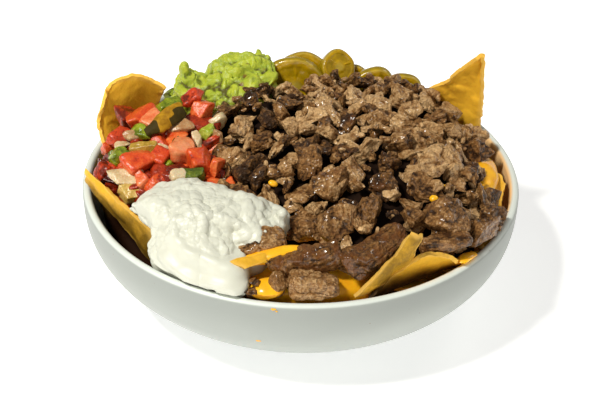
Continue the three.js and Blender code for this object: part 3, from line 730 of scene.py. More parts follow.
class Paint:
    """A node material being built."""

    def __init__(self, name):
        self.material = bpy.data.materials.new(name)
        self.material.use_nodes = True
        self.tree = self.material.node_tree
        self.tree.nodes.clear()
        self.place = self.node("ShaderNodeTexCoord").outputs["Object"]

    def node(self, kind, settings=None, inputs=None):
        """Adds a node: its settings first, a ramp's stops among them, then its sockets' values or
        links."""
        node = self.tree.nodes.new(kind)
        for key, value in (settings or {}).items():
            if key == "stops":
                self.set_stops(node.color_ramp, value)
            else:
                setattr(node, key, value)
        for key, value in (inputs or {}).items():
            socket = node.inputs[key]
            if isinstance(value, Signal):
                self.tree.links.new(value.socket, socket)
            elif isinstance(value, bpy.types.NodeSocket):
                self.tree.links.new(value, socket)
            elif isinstance(value, (tuple, list)) and socket.type == "RGBA":
                socket.default_value = (*value[:3], 1.0)
            else:
                socket.default_value = value
        return node

    @staticmethod
    def set_stops(ramp, stops):
        """Gives a ramp its stops, each a position and a colour."""
        for index, (position, shade) in enumerate(stops):
            element = ramp.elements[index] if index < 2 else ramp.elements.new(position)
            element.position = position
            element.color = (*shade[:3], 1.0)

    def strand(self):
        """The places along each piece's own axes that its mesh carries."""
        return self.node("ShaderNodeAttribute", {"attribute_name": "strand"}).outputs["Vector"]

    def grain(self, size, detail=3.0, roughness=0.55, stretch=(1, 1, 1), distortion=0.0, place=None):
        """Noise whose lumps are about size millimetres across, or that over stretch along an axis."""
        scale = [value / (size * MM) for value in stretch]
        mapping = self.node("ShaderNodeMapping", None, {"Vector": place or self.place, "Scale": scale})
        inputs = {
            "Vector": mapping.outputs[0], "Scale": 1.0, "Detail": detail,
            "Roughness": roughness, "Distortion": distortion,
        }
        return Signal(self, self.node("ShaderNodeTexNoise", None, inputs).outputs["Fac"])

    def cells(self, size):
        """Distance to scattered points about size millimetres apart, as a share of that size."""
        inputs = {"Vector": self.place, "Scale": 1 / (size * MM)}
        return Signal(self, self.node("ShaderNodeTexVoronoi", None, inputs).outputs["Distance"])

    def look(self):
        """The three numbers that the mesh carries at each point."""
        attribute = self.node("ShaderNodeAttribute", {"attribute_name": "look"})
        split = self.node("ShaderNodeSeparateColor", None, {"Color": attribute.outputs["Color"]})
        return [Signal(self, split.outputs[index]) for index in range(3)]

    def ramp(self, factor, *stops):
        """A colour that runs through the stops, each a position and a colour."""
        return self.node("ShaderNodeValToRGB", {"stops": stops}, {"Fac": factor}).outputs["Color"]

    def mix(self, factor, first, second):
        """The first colour where the factor is 0 and the second where it is 1."""
        settings = {"data_type": "RGBA", "clamp_result": True}
        node = self.node("ShaderNodeMix", settings, {"Factor": factor})
        for key, value in ((6, first), (7, second)):
            if isinstance(value, bpy.types.NodeSocket):
                self.tree.links.new(value, node.inputs[key])
            else:
                node.inputs[key].default_value = (*value[:3], 1.0)
        return node.outputs[2]

    def bump(self, height, depth, strength):
        """A surface normal from a height of 0 to 1 that stands for depth millimetres."""
        inputs = {"Height": height, "Distance": depth * MM, "Strength": strength}
        return self.node("ShaderNodeBump", None, inputs).outputs["Normal"]

    def surface(self, **sockets):
        """The shader, with its sockets named in words: base_color is Base Color."""
        inputs = {}
        for key, value in sockets.items():
            words = [word.upper() if word == "ior" else word.capitalize() for word in key.split("_")]
            inputs[" ".join(words)] = value
        shader = self.node("ShaderNodeBsdfPrincipled", None, inputs)
        output = self.node("ShaderNodeOutputMaterial", None, {"Surface": shader.outputs["BSDF"]})
        output.is_active_output = True
        return self.material


def scaled(shade, factor):
    """A colour made darker or paler by a factor."""
    return tuple(min(1.0, value * factor) for value in shade)


def glaze_finish(settings):
    """Matte off-white glaze with small brown iron specks and a faint mottling. A painted highlight makes
    it palest on the lip, painted shade makes it darkest just below it, and inside, towards the right,
    a painted warm reflection of the sauce and chips makes it warmer."""
    paint = Paint("matte_glaze")
    # lip is a painted highlight, inside a painted warm reflection of the sauce and chips, and high painted
    # shade on the outside below the lip.
    lip, inside, high = paint.look()
    warm = (1.0, 0.62, 0.26)
    cloud = paint.grain(26, 4)
    speck = paint.cells(5.2).step(0.075, 0.03) * paint.grain(9, 2).step(0.46, 0.6)
    body = paint.ramp(cloud, (0.3, scaled(settings.glaze, 0.97)), (0.7, scaled(settings.glaze, 1.03)))
    body = paint.mix(high * 0.8, body, scaled(settings.glaze, 0.79))
    body = paint.mix(inside * 0.9, body, warm)
    body = paint.mix(lip, body, scaled(settings.glaze, 1.8))
    return paint.surface(
        base_color=paint.mix(speck * 0.75, body, settings.speckle),
        roughness=0.42 + 0.1 * cloud,
        specular_ior_level=0.35,
        normal=paint.bump(paint.grain(1.6, 2), depth=0.06, strength=0.35),
    )


def beef_finish(name, settings, wetness=0.0):
    """Cooked meat: brown by piece, with fibres along each piece, rust-brown juices and a moist sheen
    in patches. Painted shade makes it dark in the creases and between its grains, and paler on the
    lumps."""
    paint = Paint(name)
    # crease carries painted shade: darker in the creases and grooves, paler on the lumps.
    tone, crease, wet = paint.look()
    juice = (0.150, 0.050, 0.010)
    between = tuple(lerp(np.array(settings.brown), np.array(settings.pale), 0.52))
    strand = paint.strand()
    fibres = paint.grain(1.7, 3, 0.6, stretch=(0.35, 1, 1), distortion=0.6, place=strand).step(0.3, 0.7)
    fine = paint.grain(1.15, 3, 0.65, place=strand).step(0.32, 0.68)
    # As colour, grains is painted shade between small grains; it also raises them as bumps.
    grains = 1.0 - paint.cells(1.7).step(0.1, 0.75)
    shade = tone * 0.66 + paint.grain(6, 3) * 0.42 + fibres * 0.12 + fine * 0.24 + grains * 0.18
    shade = shade - crease * 0.44 - 0.265
    stops = ((0.0, settings.dark), (0.34, settings.brown), (0.62, between), (0.95, settings.pale))
    stained = paint.grain(5, 3).step(0.5 - 0.6 * wetness, 0.72 - 0.6 * wetness) * wet
    return paint.surface(
        base_color=paint.mix(stained * (0.7 + wetness), paint.ramp(shade, *stops), juice),
        roughness=0.5 - wetness,
        specular_ior_level=0.35 - wetness,
        specular_tint=(1.0, 0.80, 0.60),
        coat_weight=(0.5 + 1.6 * wetness) * paint.grain(3.0, 3).step(0.36, 0.52),
        coat_roughness=0.15,
        normal=paint.bump(fibres * 0.35 + fine * 0.5 + grains * 0.5, depth=0.95, strength=1.1),
    )


def beef_shade_finish():
    """Painted shade: the near-black colour of the core that shows in the gaps between the pieces of beef."""
    paint = Paint("beef_shade")
    blacks = ((0.3, (0.003, 0.001, 0.0004)), (0.8, (0.020, 0.008, 0.003)))
    return paint.surface(
        base_color=paint.ramp(paint.grain(5, 3), *blacks),
        roughness=0.8,
        specular_ior_level=0.1,
    )


def cream_finish(settings):
    """Thick white cream: even and warm white, soft inside, with a satin wet sheen."""
    paint = Paint("sour_cream")
    white = ((0.3, scaled(settings.cream, 0.95)), (0.7, scaled(settings.cream, 1.02)))
    return paint.surface(
        base_color=paint.ramp(paint.grain(12, 3), *white),
        roughness=0.34 + 0.12 * paint.grain(5, 2),
        specular_ior_level=0.45,
        subsurface_weight=0.06,
        subsurface_radius=(0.002, 0.0018, 0.0013),
        normal=paint.bump(paint.grain(1.5, 3), depth=0.25, strength=0.4),
    )


def guacamole_finish(settings):
    """Mashed avocado: yellow-green, pale where it is smeared, with red-brown flecks. Painted shade
    makes it darker and olive in the folds and browner down the heap's flank."""
    paint = Paint("guacamole")
    # Painted shade: crease darkens the folds and the second number browns the heap's flank.
    crease, fleck, _ = paint.look()
    fold, smear, palest = (0.10, 0.09, 0.004), (0.50, 0.55, 0.035), (0.68, 0.70, 0.14)
    shade = paint.grain(5, 4, 0.6) * 0.75 + paint.grain(1.3, 3) * 0.45 - crease * 0.5 - 0.04
    mash = paint.ramp(shade, (0.12, fold), (0.40, settings.guacamole), (0.68, smear), (0.90, palest))
    spots = paint.cells(7).step(0.26, 0.12) * paint.grain(11, 2).step(0.46, 0.6)
    spotted = paint.mix(spots * 0.7, mash, (0.22, 0.07, 0.015))
    return paint.surface(
        base_color=paint.mix(fleck, spotted, (0.30, 0.20, 0.02)),
        roughness=0.30 + 0.25 * paint.grain(3, 2),
        specular_ior_level=0.5,
        subsurface_weight=0.15,
        subsurface_radius=(0.003, 0.004, 0.001),
        normal=paint.bump(paint.grain(1.1, 3) * 0.6 + paint.grain(2.6, 3) * 0.6, depth=0.7, strength=0.9),
    )


def sauce_finish(settings):
    """Smooth glossy cheese sauce, deeper orange in clouds."""
    paint = Paint("cheese_sauce")
    deep = (settings.sauce[0] * 0.9, settings.sauce[1] * 0.8, settings.sauce[2])
    return paint.surface(
        base_color=paint.ramp(paint.grain(9, 3), (0.35, deep), (0.6, settings.sauce)),
        roughness=0.2 + 0.1 * paint.grain(4, 2),
        specular_ior_level=0.5,
        subsurface_weight=0.12,
        subsurface_radius=(0.003, 0.0015, 0.0005),
        normal=paint.bump(paint.grain(5, 2), depth=0.35, strength=0.4),
    )


def chip_finish(settings, name="fried_tortilla", shine=0.22):
    """Fried corn tortilla: golden with browner clouds, corn flecks and small blisters. A painted
    highlight makes its rims paler, and painted shade makes it browner and near-black towards a low
    edge and at the bottom."""
    paint = Paint(name)
    # rim is a painted highlight; brown is the chip's own browning, with painted light per chip and painted
    # shade towards its low side; the third number is painted shade that turns it near-black.
    rim, brown, soaked = paint.look()
    toasted, golden, palest = scaled(settings.chip, 0.34), scaled(settings.chip, 0.8), (0.94, 0.52, 0.035)
    pale_rim, juice = (0.84, 0.51, 0.11), (0.018, 0.006, 0.002)
    fleck = paint.grain(1.4, 4, 0.7)
    shade = paint.grain(11, 4, 0.55) * 0.6 + fleck * 0.42 - brown * 0.17 + 0.06
    body = paint.ramp(shade, (0.1, toasted), (0.38, golden), (0.62, settings.chip), (0.90, palest))
    return paint.surface(
        base_color=paint.mix(soaked, paint.mix(rim * 0.5, body, pale_rim), juice),
        roughness=0.5 + 0.2 * fleck,
        specular_ior_level=shine,
        subsurface_weight=0.05,
        subsurface_radius=(0.003, 0.0015, 0.0006),
        normal=paint.bump(fleck * 0.5 + paint.grain(4, 3) * 0.5, depth=0.6, strength=0.7),
    )


def vegetable_finish(name, shades, roughness, soft=0.12):
    """Wet cut flesh that runs through the shades in soft veins, a little by piece, with painted shade
    where its surface sinks.
    """
    paint = Paint(name)
    tone, crease, _ = paint.look()
    shade = tone * 0.55 + paint.grain(3.2, 3, 0.6) * 0.7 + paint.grain(0.9, 3) * 0.6
    shade = shade - crease * 0.3 - 0.42
    stops = tuple((0.15 + 0.7 * index / (len(shades) - 1), tint) for index, tint in enumerate(shades))
    return paint.surface(
        base_color=paint.ramp(shade, *stops),
        roughness=roughness + 0.12 * paint.grain(2, 2),
        specular_ior_level=0.5,
        subsurface_weight=soft,
        subsurface_radius=(0.002, 0.0007, 0.0004),
        normal=paint.bump(paint.grain(1.2, 3), depth=0.5, strength=0.6),
    )


def salsa_finishes(settings):
    """A finish for each kind of piece in the salsa, from dark to pale. The shaded tomato is a darker
    copy of the tomato, painted shade for the core and for pieces that lie in shade.
    """
    red = settings.tomato
    kinds = {
        "tomato": ("tomato", (scaled(red, 0.25), red, (0.66, 0.085, 0.013), (0.80, 0.20, 0.050)), 0.26, 0.2),
        "dark_tomato": ("dark_tomato", (scaled(red, 0.08), scaled(red, 0.3), scaled(red, 0.75)), 0.2, 0.2),
        "pale_tomato": ("pale_tomato", (red, (0.72, 0.15, 0.045), (0.82, 0.30, 0.12)), 0.26, 0.2),
        "onion": ("onion", ((0.40, 0.20, 0.08), (0.57, 0.41, 0.21), (0.70, 0.57, 0.36)), 0.2, 0.25),
        "green": ("green_pepper", ((0.10, 0.14, 0.005), (0.29, 0.35, 0.015), (0.52, 0.55, 0.10)), 0.2),
        "dark_green": ("pepper_skin", ((0.03, 0.045, 0.008), (0.09, 0.13, 0.01), (0.30, 0.33, 0.04)), 0.2),
        "ochre": ("ochre_pepper", ((0.22, 0.12, 0.01), (0.42, 0.26, 0.03), (0.62, 0.42, 0.12)), 0.2),
    }
    return {kind: vegetable_finish(*values) for kind, values in kinds.items()}


def pickle_finish(settings):
    """A pickled pepper slice: translucent olive flesh, darker green skin and a pale middle, with
    painted shade in the chambers and a painted highlight as a pale ring near the edge."""
    paint = Paint("pickled_pepper")
    # skin is the skin's own colour, pale the painted highlight ring and the pale middle, and the third
    # number painted shade in the chambers.
    skin, pale, hollow = paint.look()
    cloud = paint.grain(4, 3)
    flesh = paint.ramp(cloud, (0.3, scaled(settings.pickle, 0.7)), (0.7, scaled(settings.pickle, 1.35)))
    flesh = paint.mix(skin * 0.7, flesh, (0.27, 0.20, 0.004))
    flesh = paint.mix(hollow * 0.3, flesh, (0.22, 0.155, 0.004))
    return paint.surface(
        base_color=paint.mix(pale, flesh, (0.58, 0.50, 0.12)),
        roughness=0.14 + 0.1 * cloud,
        specular_ior_level=0.55,
        subsurface_weight=0.3,
        subsurface_radius=(0.004, 0.003, 0.0005),
        normal=paint.bump(paint.grain(2.2, 2), depth=0.3, strength=0.5),
    )


def roasted_finish():
    """Roasted pepper: ochre skin with black-green charred patches."""
    paint = Paint("roasted_pepper")
    char, _, _ = paint.look()
    shade = paint.grain(3, 3)
    ochre = paint.ramp(shade, (0.3, (0.24, 0.11, 0.005)), (0.7, (0.48, 0.25, 0.012)))
    burnt = (char + 0.35 * paint.grain(1.5, 3) - 0.17).step(0.35, 0.62)
    return paint.surface(
        base_color=paint.mix(burnt * 0.95, ochre, (0.030, 0.023, 0.004)),
        roughness=0.55 + 0.2 * shade,
        specular_ior_level=0.12,
        normal=paint.bump(paint.grain(1.0, 3), depth=0.3, strength=0.6),
    )


# ---------------------------------------------------------------- shapes


def heap_grid(heap, rows, columns, reach=0.0, sink=0.0, undercut=0.85, clearance=WALL_ROOM):
    """A heap's skin as rings: over the top to the outline, then down its side to the sole, drawn in
    to a share of the outline. The shares go from 0 to 1 over the top and from 1 to 2 down the side."""
    over = np.linspace(0.5 / rows, 1, rows) ** 0.8
    side = np.linspace(0, 1, max(rows // 4, 6))[1:]
    angle = np.linspace(0, 2 * np.pi, columns, endpoint=False)
    outline = around_circle(heap["outline"], angle) + reach
    share, turn = np.meshgrid(over, angle, indexing="ij")
    out = outline * share
    top = np.stack([out * np.cos(turn), out * np.sin(turn), heap_top(heap, share, turn) - sink], -1)
    down, turn = np.meshgrid(side, angle, indexing="ij")
    out = outline * (1 - (1 - undercut) * down)
    height = lerp(heap_top(heap, 1.0, turn) - sink, SOLE, down)
    flank = np.stack([out * np.cos(turn), out * np.sin(turn), height], -1)
    grid = np.concatenate([top, flank])
    grid[..., :2] += heap["centre"]
    return inside_wall(grid, clearance), np.concatenate([share, 1 + down])


def roughened(grid, depth, size, octaves, salt):
    """A grid pushed along its normals by noise of a size in millimetres, as far as depth."""
    push = depth * fractal(grid / size, octaves, salt)
    return grid + surface_normals(grid) * push[..., None]


def sizes(long, wide, thick):
    """Three measures of each piece: its length, and its width and thickness as shares of that."""
    return np.stack([long, long * wide, long * thick], -1)


def cut_by_planes(form, seed, cuts, stride, salt, depths, soft):
    """Pieces cut by planes whose way and distance from the middle are drawn: what lies beyond a plane
    is pushed back to it, by soft times the logarithm of 1 + e^(beyond / soft), so the edges are soft."""
    for cut in range(cuts):
        way = np.stack([draw(seed + stride * cut, salt + axis) - 0.5 for axis in range(3)], -1)
        way /= np.linalg.norm(way, axis=-1, keepdims=True)
        depth = lerp(*depths, draw(seed + cut, salt + 6))[:, None]
        beyond = np.einsum("nvk,nk->nv", form, way) - depth
        form = form - (soft * np.logaddexp(0, beyond / soft))[..., None] * way[:, None]
    return form


def box_normals(ball, half):
    """Outward unit normals of a ball that is stretched to each piece's half sizes."""
    normal = ball[None] / half
    return normal / np.linalg.norm(normal, axis=-1, keepdims=True)


def put_down(body, turn, at, order="xyz"):
    """Pieces turned about their middles and moved to their places."""
    return np.einsum("nij,nvj->nvi", turned(turn, order), body) + at[:, None]


def meat(
    at, size, turn, seed, cells, settings,
    power, cuts, curl=0.0, nearest=0.56, fray=0.0, knobs=0.0, taper=0.0, stringy=1.0,
):
    """Pieces of meat, as pieces by points. Each is a superellipsoid (|x|^p + |y|^p + |z|^p = 1) cut by
    planes, scaled to its size and tapered, frayed in its plane by noise, and pushed along its normal
    by warped lumps, narrow creases, fibres and knobs. It is then curled along its length by a
    parabola, twisted, turned and put down. Its look is how pale it is, how much painted shade it gets
    in its creases, grooves and sunk knobs, and how moist it is."""
    at, size, turn, seed = (np.asarray(value, float) for value in (at, size, turn, seed))
    ball, faces = ball_grid(cells)
    power, knobs, fray, curl = (
        np.broadcast_to(value, seed.shape)[:, None, None] for value in (power, knobs, fray, curl)
    )
    form = ball / ((np.abs(ball)[None] ** power).sum(-1, keepdims=True) ** (1 / power))
    form = cut_by_planes(form, seed, cuts, stride=3.1, salt=31, depths=(nearest, 0.95), soft=0.022)
    half = size[:, None] / 2
    body = form * half
    body[..., 1:] *= 1 + taper * form[..., :1]

    reach = size[:, :1, None]
    place = body + (seed[:, None, None] * np.array([13.7, 7.3, 3.9])) % 211
    warp = warped(place, size=6, salt=40)
    torn = fractal(place / (0.22 * reach + 1), octaves=2, salt=58)[..., None] * fray
    body = body * (1 + torn * np.array([1, 1, 0.2]))
    broad = noise(place / (0.45 * reach), 43)
    lumps = fractal((place + 1.2 * warp) / 4.6, octaves=2, salt=44)
    fold = creases((place + 2.0 * warp) / 7.0, 46)
    balls = 0.5 - np.abs(noise((place + warp) / 5.6, 52)) ** 0.7
    along = (place + 1.6 * warp) / np.array([5.5, 2.5, 2.5])
    strands = np.abs(noise(along, 48))
    threads = np.abs(noise(along * 2.2, 49))
    push = 0.05 * reach[..., 0] * broad + 0.4 * lumps - settings.crease / MM * fold
    push = push + stringy * settings.fibre / MM * (0.8 * (strands - 0.28) + 0.7 * (threads - 0.28))
    push = push - 3.2 * knobs[..., 0] * balls + 0.4 * noise(place / 1.9, 56)
    body = body + box_normals(ball, half) * push[..., None]

    share = body[..., 0] / reach[..., 0]
    body[..., 2] += curl[..., 0] * reach[..., 0] * (share**2 * 4 - 0.5)
    twist = lerp(-0.5, 0.5, draw(seed, 23))[:, None] * share
    y, z = body[..., 1].copy(), body[..., 2].copy()
    body[..., 1] = y * np.cos(twist) - z * np.sin(twist)
    body[..., 2] = y * np.sin(twist) + z * np.cos(twist)

    # Painted shade, carried as the second look number: darker in the creases, the fibre grooves and where
    # knobs sink, lighter on the lumps.
    grooves = stringy * (0.55 * (1 - strands) ** 4 + 0.3 * (1 - threads) ** 4)
    hollow = np.clip(0.8 * fold + grooves - 0.35 * lumps + 0.6 * knobs[..., 0] * balls - 0.1, 0, 1)
    tone = np.broadcast_to(draw(seed, 7)[:, None], hollow.shape)
    wet = np.broadcast_to(smooth(0.45, 0.95, draw(seed, 8))[:, None], hollow.shape)
    return put_down(body, turn, at), faces, np.stack([tone, hollow, wet], -1), place


def dice(at, size, turn, seed, cells, roundness, relief):
    """Cut vegetables, as pieces by points: boxes with soft edges (a superellipsoid of high power)
    whose corners are cut away by planes, leaning over and a little uneven. Their look is how pale
    they are, and painted shade where their surface sinks."""
    ball, faces = ball_grid(cells)
    form = ball / ((np.abs(ball) ** roundness).sum(-1, keepdims=True) ** (1 / roundness))
    form = np.broadcast_to(form, (len(seed),) + form.shape)
    form = cut_by_planes(form, seed, cuts=4, stride=5.3, salt=61, depths=(0.66, 1.1), soft=0.04)
    half = size[:, None] / 2
    body = form * half
    body[..., 0] += (0.8 * (draw(seed, 68) - 0.5))[:, None] * body[..., 2]
    place = body + (seed[:, None, None] * np.array([11.3, 5.9, 8.1])) % 173
    lumps = fractal(place / 4.5, octaves=3, salt=71)
    push = relief * 2.4 * lumps + relief * 0.5 * noise(place / 1.1, 75)
    body = body + box_normals(ball, half) * push[..., None]
    tone = np.broadcast_to(draw(seed, 9)[:, None], lumps.shape)
    # The second look number is painted shade where the surface sinks.
    look = np.stack([tone, np.clip(-lumps, 0, 1), np.zeros_like(lumps)], -1)
    return put_down(body, turn, at, "zyx"), faces, look


def arch(share):
    """4t(1 - t): an arch that is 0 at both ends and 1 in the middle."""
    return 4 * share * (1 - share)


def chip_surface(corners, bulge, bow, ripple, rows, seed, tone=0.0, toast=0.0, slant=0.0, soak=0.0):
    """A chip's middle sheet over four corners: a bilinear patch whose edges are pushed outwards by
    arches, whose middle is bowed, with ripples and blisters; its rim is a little uneven. Tone browns
    the whole chip and also paints in how much light it gets; the next two numbers brown and darken
    the side of its first edge, by v + slant u, as painted shade."""
    a, b, c, d = (np.array(corner, float) for corner in corners)
    normal = np.cross(b - a, d - a)
    normal /= np.linalg.norm(normal)
    centre = (a + b + c + d) / 4
    u, v = np.meshgrid(np.linspace(0, 1, rows), np.linspace(0, 1, rows))
    u, v = u[..., None], v[..., None]
    low, high = a + (b - a) * u, d + (c - d) * u
    right, left = b + (c - b) * v, a + (d - a) * v
    point = low + (high - low) * v
    pushes = (
        (low, bulge[0] * arch(u) * (1 - v)),
        (right, bulge[1] * arch(v) * u),
        (high, bulge[2] * arch(u) * v),
        (left, bulge[3] * arch(v) * (1 - u)),
    )
    for edge, push in pushes:
        out = edge - centre
        point = point + out / np.linalg.norm(out, axis=-1, keepdims=True) * push

    wave = ripple * np.sin(u * 7 + v * 3) * np.cos(v * 6 - u * 2)
    from_rim = np.minimum(np.minimum(u, 1 - u), np.minimum(v, 1 - v))
    blister = fractal(point / 9 + seed, octaves=3, salt=81)[..., None]
    bubbles = smooth(0.25, 0.75, noise(point / 5.5 + seed, 85))[..., None]
    wave = wave + 0.6 * blister + 0.4 * bubbles * smooth(0, 0.1, from_rim)
    nibble = fractal(point / 5 + seed, octaves=3, salt=88)[..., None] * smooth(0.12, 0, from_rim)
    out = point - centre
    point = point + out / np.linalg.norm(out, axis=-1, keepdims=True) * nibble * 0.9
    point = point + normal * (bow * (arch(u) + arch(v)) / 2 + wave)

    # Painted highlight along the rim.
    rim = smooth(0.09, 0.01, from_rim)[..., 0]
    # Painted shade: the side of the first edge is browner and nearer black, as the shadow of the chips above
    # it.
    low_side = smooth(0.75, 0.0, v[..., 0] + slant * u[..., 0])
    brown = np.clip(0.4 + 0.8 * blister[..., 0] - 0.5 * bubbles[..., 0], 0, 1) + tone + toast * low_side
    return point, np.stack([rim, brown, soak * low_side], -1)


# ---------------------------------------------------------------- pieces


def build_bowl(settings):
    """The bowl as a profile turned round Z: foot ring, outer wall, a round lip whose section is half
    a circle, inner wall and floor. Two slow waves round it keep it from being perfectly round."""
    lip = WALL / 2
    top = BOWL_HEIGHT - lip
    foot_inner = FOOT_RADIUS - FOOT_WIDTH
    foot = [
        (0.4, FOOT_RECESS), (foot_inner - 1.5, FOOT_RECESS), (foot_inner - 0.6, 0.8),
        (foot_inner + 0.4, 0.1), (foot_inner + 1.2, 0.0),
        (FOOT_RADIUS - 1.2, 0.0), (FOOT_RADIUS - 0.2, 0.15),
    ]
    inner_floor = [(INNER_FLOOR_RADIUS * 0.6, FLOOR), (0.4, FLOOR)]
    wall_rows, lip_rows, sides = 34, 12, 240
    outer = top * np.linspace(0.06, 1, wall_rows) ** 1.7
    inner = FLOOR + (top - FLOOR) * np.linspace(1, 0.002, wall_rows) ** 1.7
    over = np.radians(np.linspace(12, 168, lip_rows))
    profile = np.concatenate([
        foot,
        np.stack([outer_radius(outer), outer], -1),
        np.stack([RIM_RADIUS - lip + lip * np.cos(over), top + lip * np.sin(over)], -1),
        np.stack([inner_radius(inner), inner], -1),
        inner_floor,
    ])[::-1]
    angle = np.linspace(0, 2 * np.pi, sides, endpoint=False)
    reach, turn = np.meshgrid(profile[:, 0], angle, indexing="ij")
    height = np.broadcast_to(profile[:, 1][:, None], reach.shape)
    wobble = 0.12 * np.sin(2 * turn + 0.6) * smooth(10, 55, height)
    out = (reach + wobble) * (settings.rim_radius / MM / RIM_RADIUS)
    up = height * (settings.height / MM / BOWL_HEIGHT)
    grid = np.stack([out * np.cos(turn), out * np.sin(turn), up], -1)

    ring = np.arange(len(profile))[:, None]
    crest = len(inner_floor) + wall_rows + lip_rows // 2 + 1
    # Painted highlight: the top of the lip is painted palest, where the light falls on it.
    on_lip = smooth(BOWL_HEIGHT - 1.4, BOWL_HEIGHT - 0.5, height)
    on_lip = on_lip * smooth(RIM_RADIUS - 4.0, RIM_RADIUS - 2.6, reach)
    # Painted reflection: the inside of the wall towards the right is warmed as if by light thrown from the
    # sauce and chips.
    inside = smooth(RIM_RADIUS - 2.4, RIM_RADIUS - 4.2, reach) * (ring < crest)
    warm = inside * smooth(-0.1, 0.6, np.cos(turn))
    # Painted shade: the outside wall is painted darker from 36 mm up to just below the lip.
    below_lip = smooth(36, 54, height) * (ring > crest)
    points, faces, values = capped(grid, np.stack([on_lip, warm, below_lip], -1))
    make_piece("bowl_glazed", points, faces, glaze_finish(settings), ["bowl"], values)


def heap_turns(index, angle, slope, spread):
    """Turns in degrees that lean each piece with the heap's slope, and by chance as far as spread."""
    lean_x = -slope * np.sin(angle) + spread * (draw(index, 5) - 0.5)
    lean_y = slope * np.cos(angle) + spread * (draw(index, 6) - 0.5)
    return np.degrees(np.stack([lean_x, lean_y, 2 * np.pi * draw(index, 4)], -1))


def followed_by(drawn, listed):
    """Drawn pieces and then listed ones, as middles, sizes, turns and seeds."""
    columns = [np.array([piece[part] for piece in listed], float) for part in range(4)]
    return [np.concatenate(pair) for pair in zip(drawn, columns)]


def beef_layout(settings):
    """Where the heap's pieces of beef lie, with their sizes, turns and seeds: the large ones of the
    frame, and smaller ones between. The listed ones come last in each."""
    at, angle, share = heap_spots(BEEF, LARGE_CHUNKS, reach=0.97)
    index = np.arange(LARGE_CHUNKS)
    growth = around_circle(BEEF["outline"], angle) / BEEF_MEAN_REACH
    long = lerp(*LARGE_BEEF_LENGTHS, draw(index, 1)) * growth
    size = sizes(long, 0.56 + 0.26 * draw(index, 2), 0.46 + 0.2 * draw(index, 3))
    at = inside_wall(at - np.array([0, 0, 1.5]), long * 0.45)
    turn = heap_turns(index, angle, slope=0.9 * share**3, spread=0.9)
    large = followed_by([at, size, turn, index], LARGE_BEEF)

    at, angle, share = heap_spots(BEEF, settings.between, reach=0.985, first=0.7)
    index = np.arange(settings.between) + SMALL_BEEF_SEEDS
    long = lerp(*SMALL_BEEF_LENGTHS, draw(index, 1))
    size = sizes(long, lerp(0.4, 0.8, draw(index, 2)), lerp(0.28, 0.6, draw(index, 3)))
    stray = [3 * (draw(index, 14) - 0.5), 3 * (draw(index, 15) - 0.5), lerp(-4.0, 1.0, draw(index, 16))]
    at = inside_wall(at + np.stack(stray, -1), long * 0.5)
    turn = heap_turns(index, angle, slope=share**3, spread=1.7)
    small = followed_by([at, size, turn, index], LIP_CRUMBS)
    return large, small


def make_beef(names, pieces, finish, clearance=WALL_ROOM):
    """Loose pieces of beef as one object for each name, kept off the tall chip and the wall."""
    body, quads, look, strand = pieces
    body = inside_wall(off_tall_chip(body), clearance)
    for name, part in zip(names, np.array_split(np.arange(len(body)), len(names))):
        points, faces = many(body[part], quads)
        looks, strands = look[part].reshape(-1, 3), strand[part].reshape(-1, 3)
        make_piece("beef_" + name, points, faces, finish, ["beef_heap"], looks, strands)


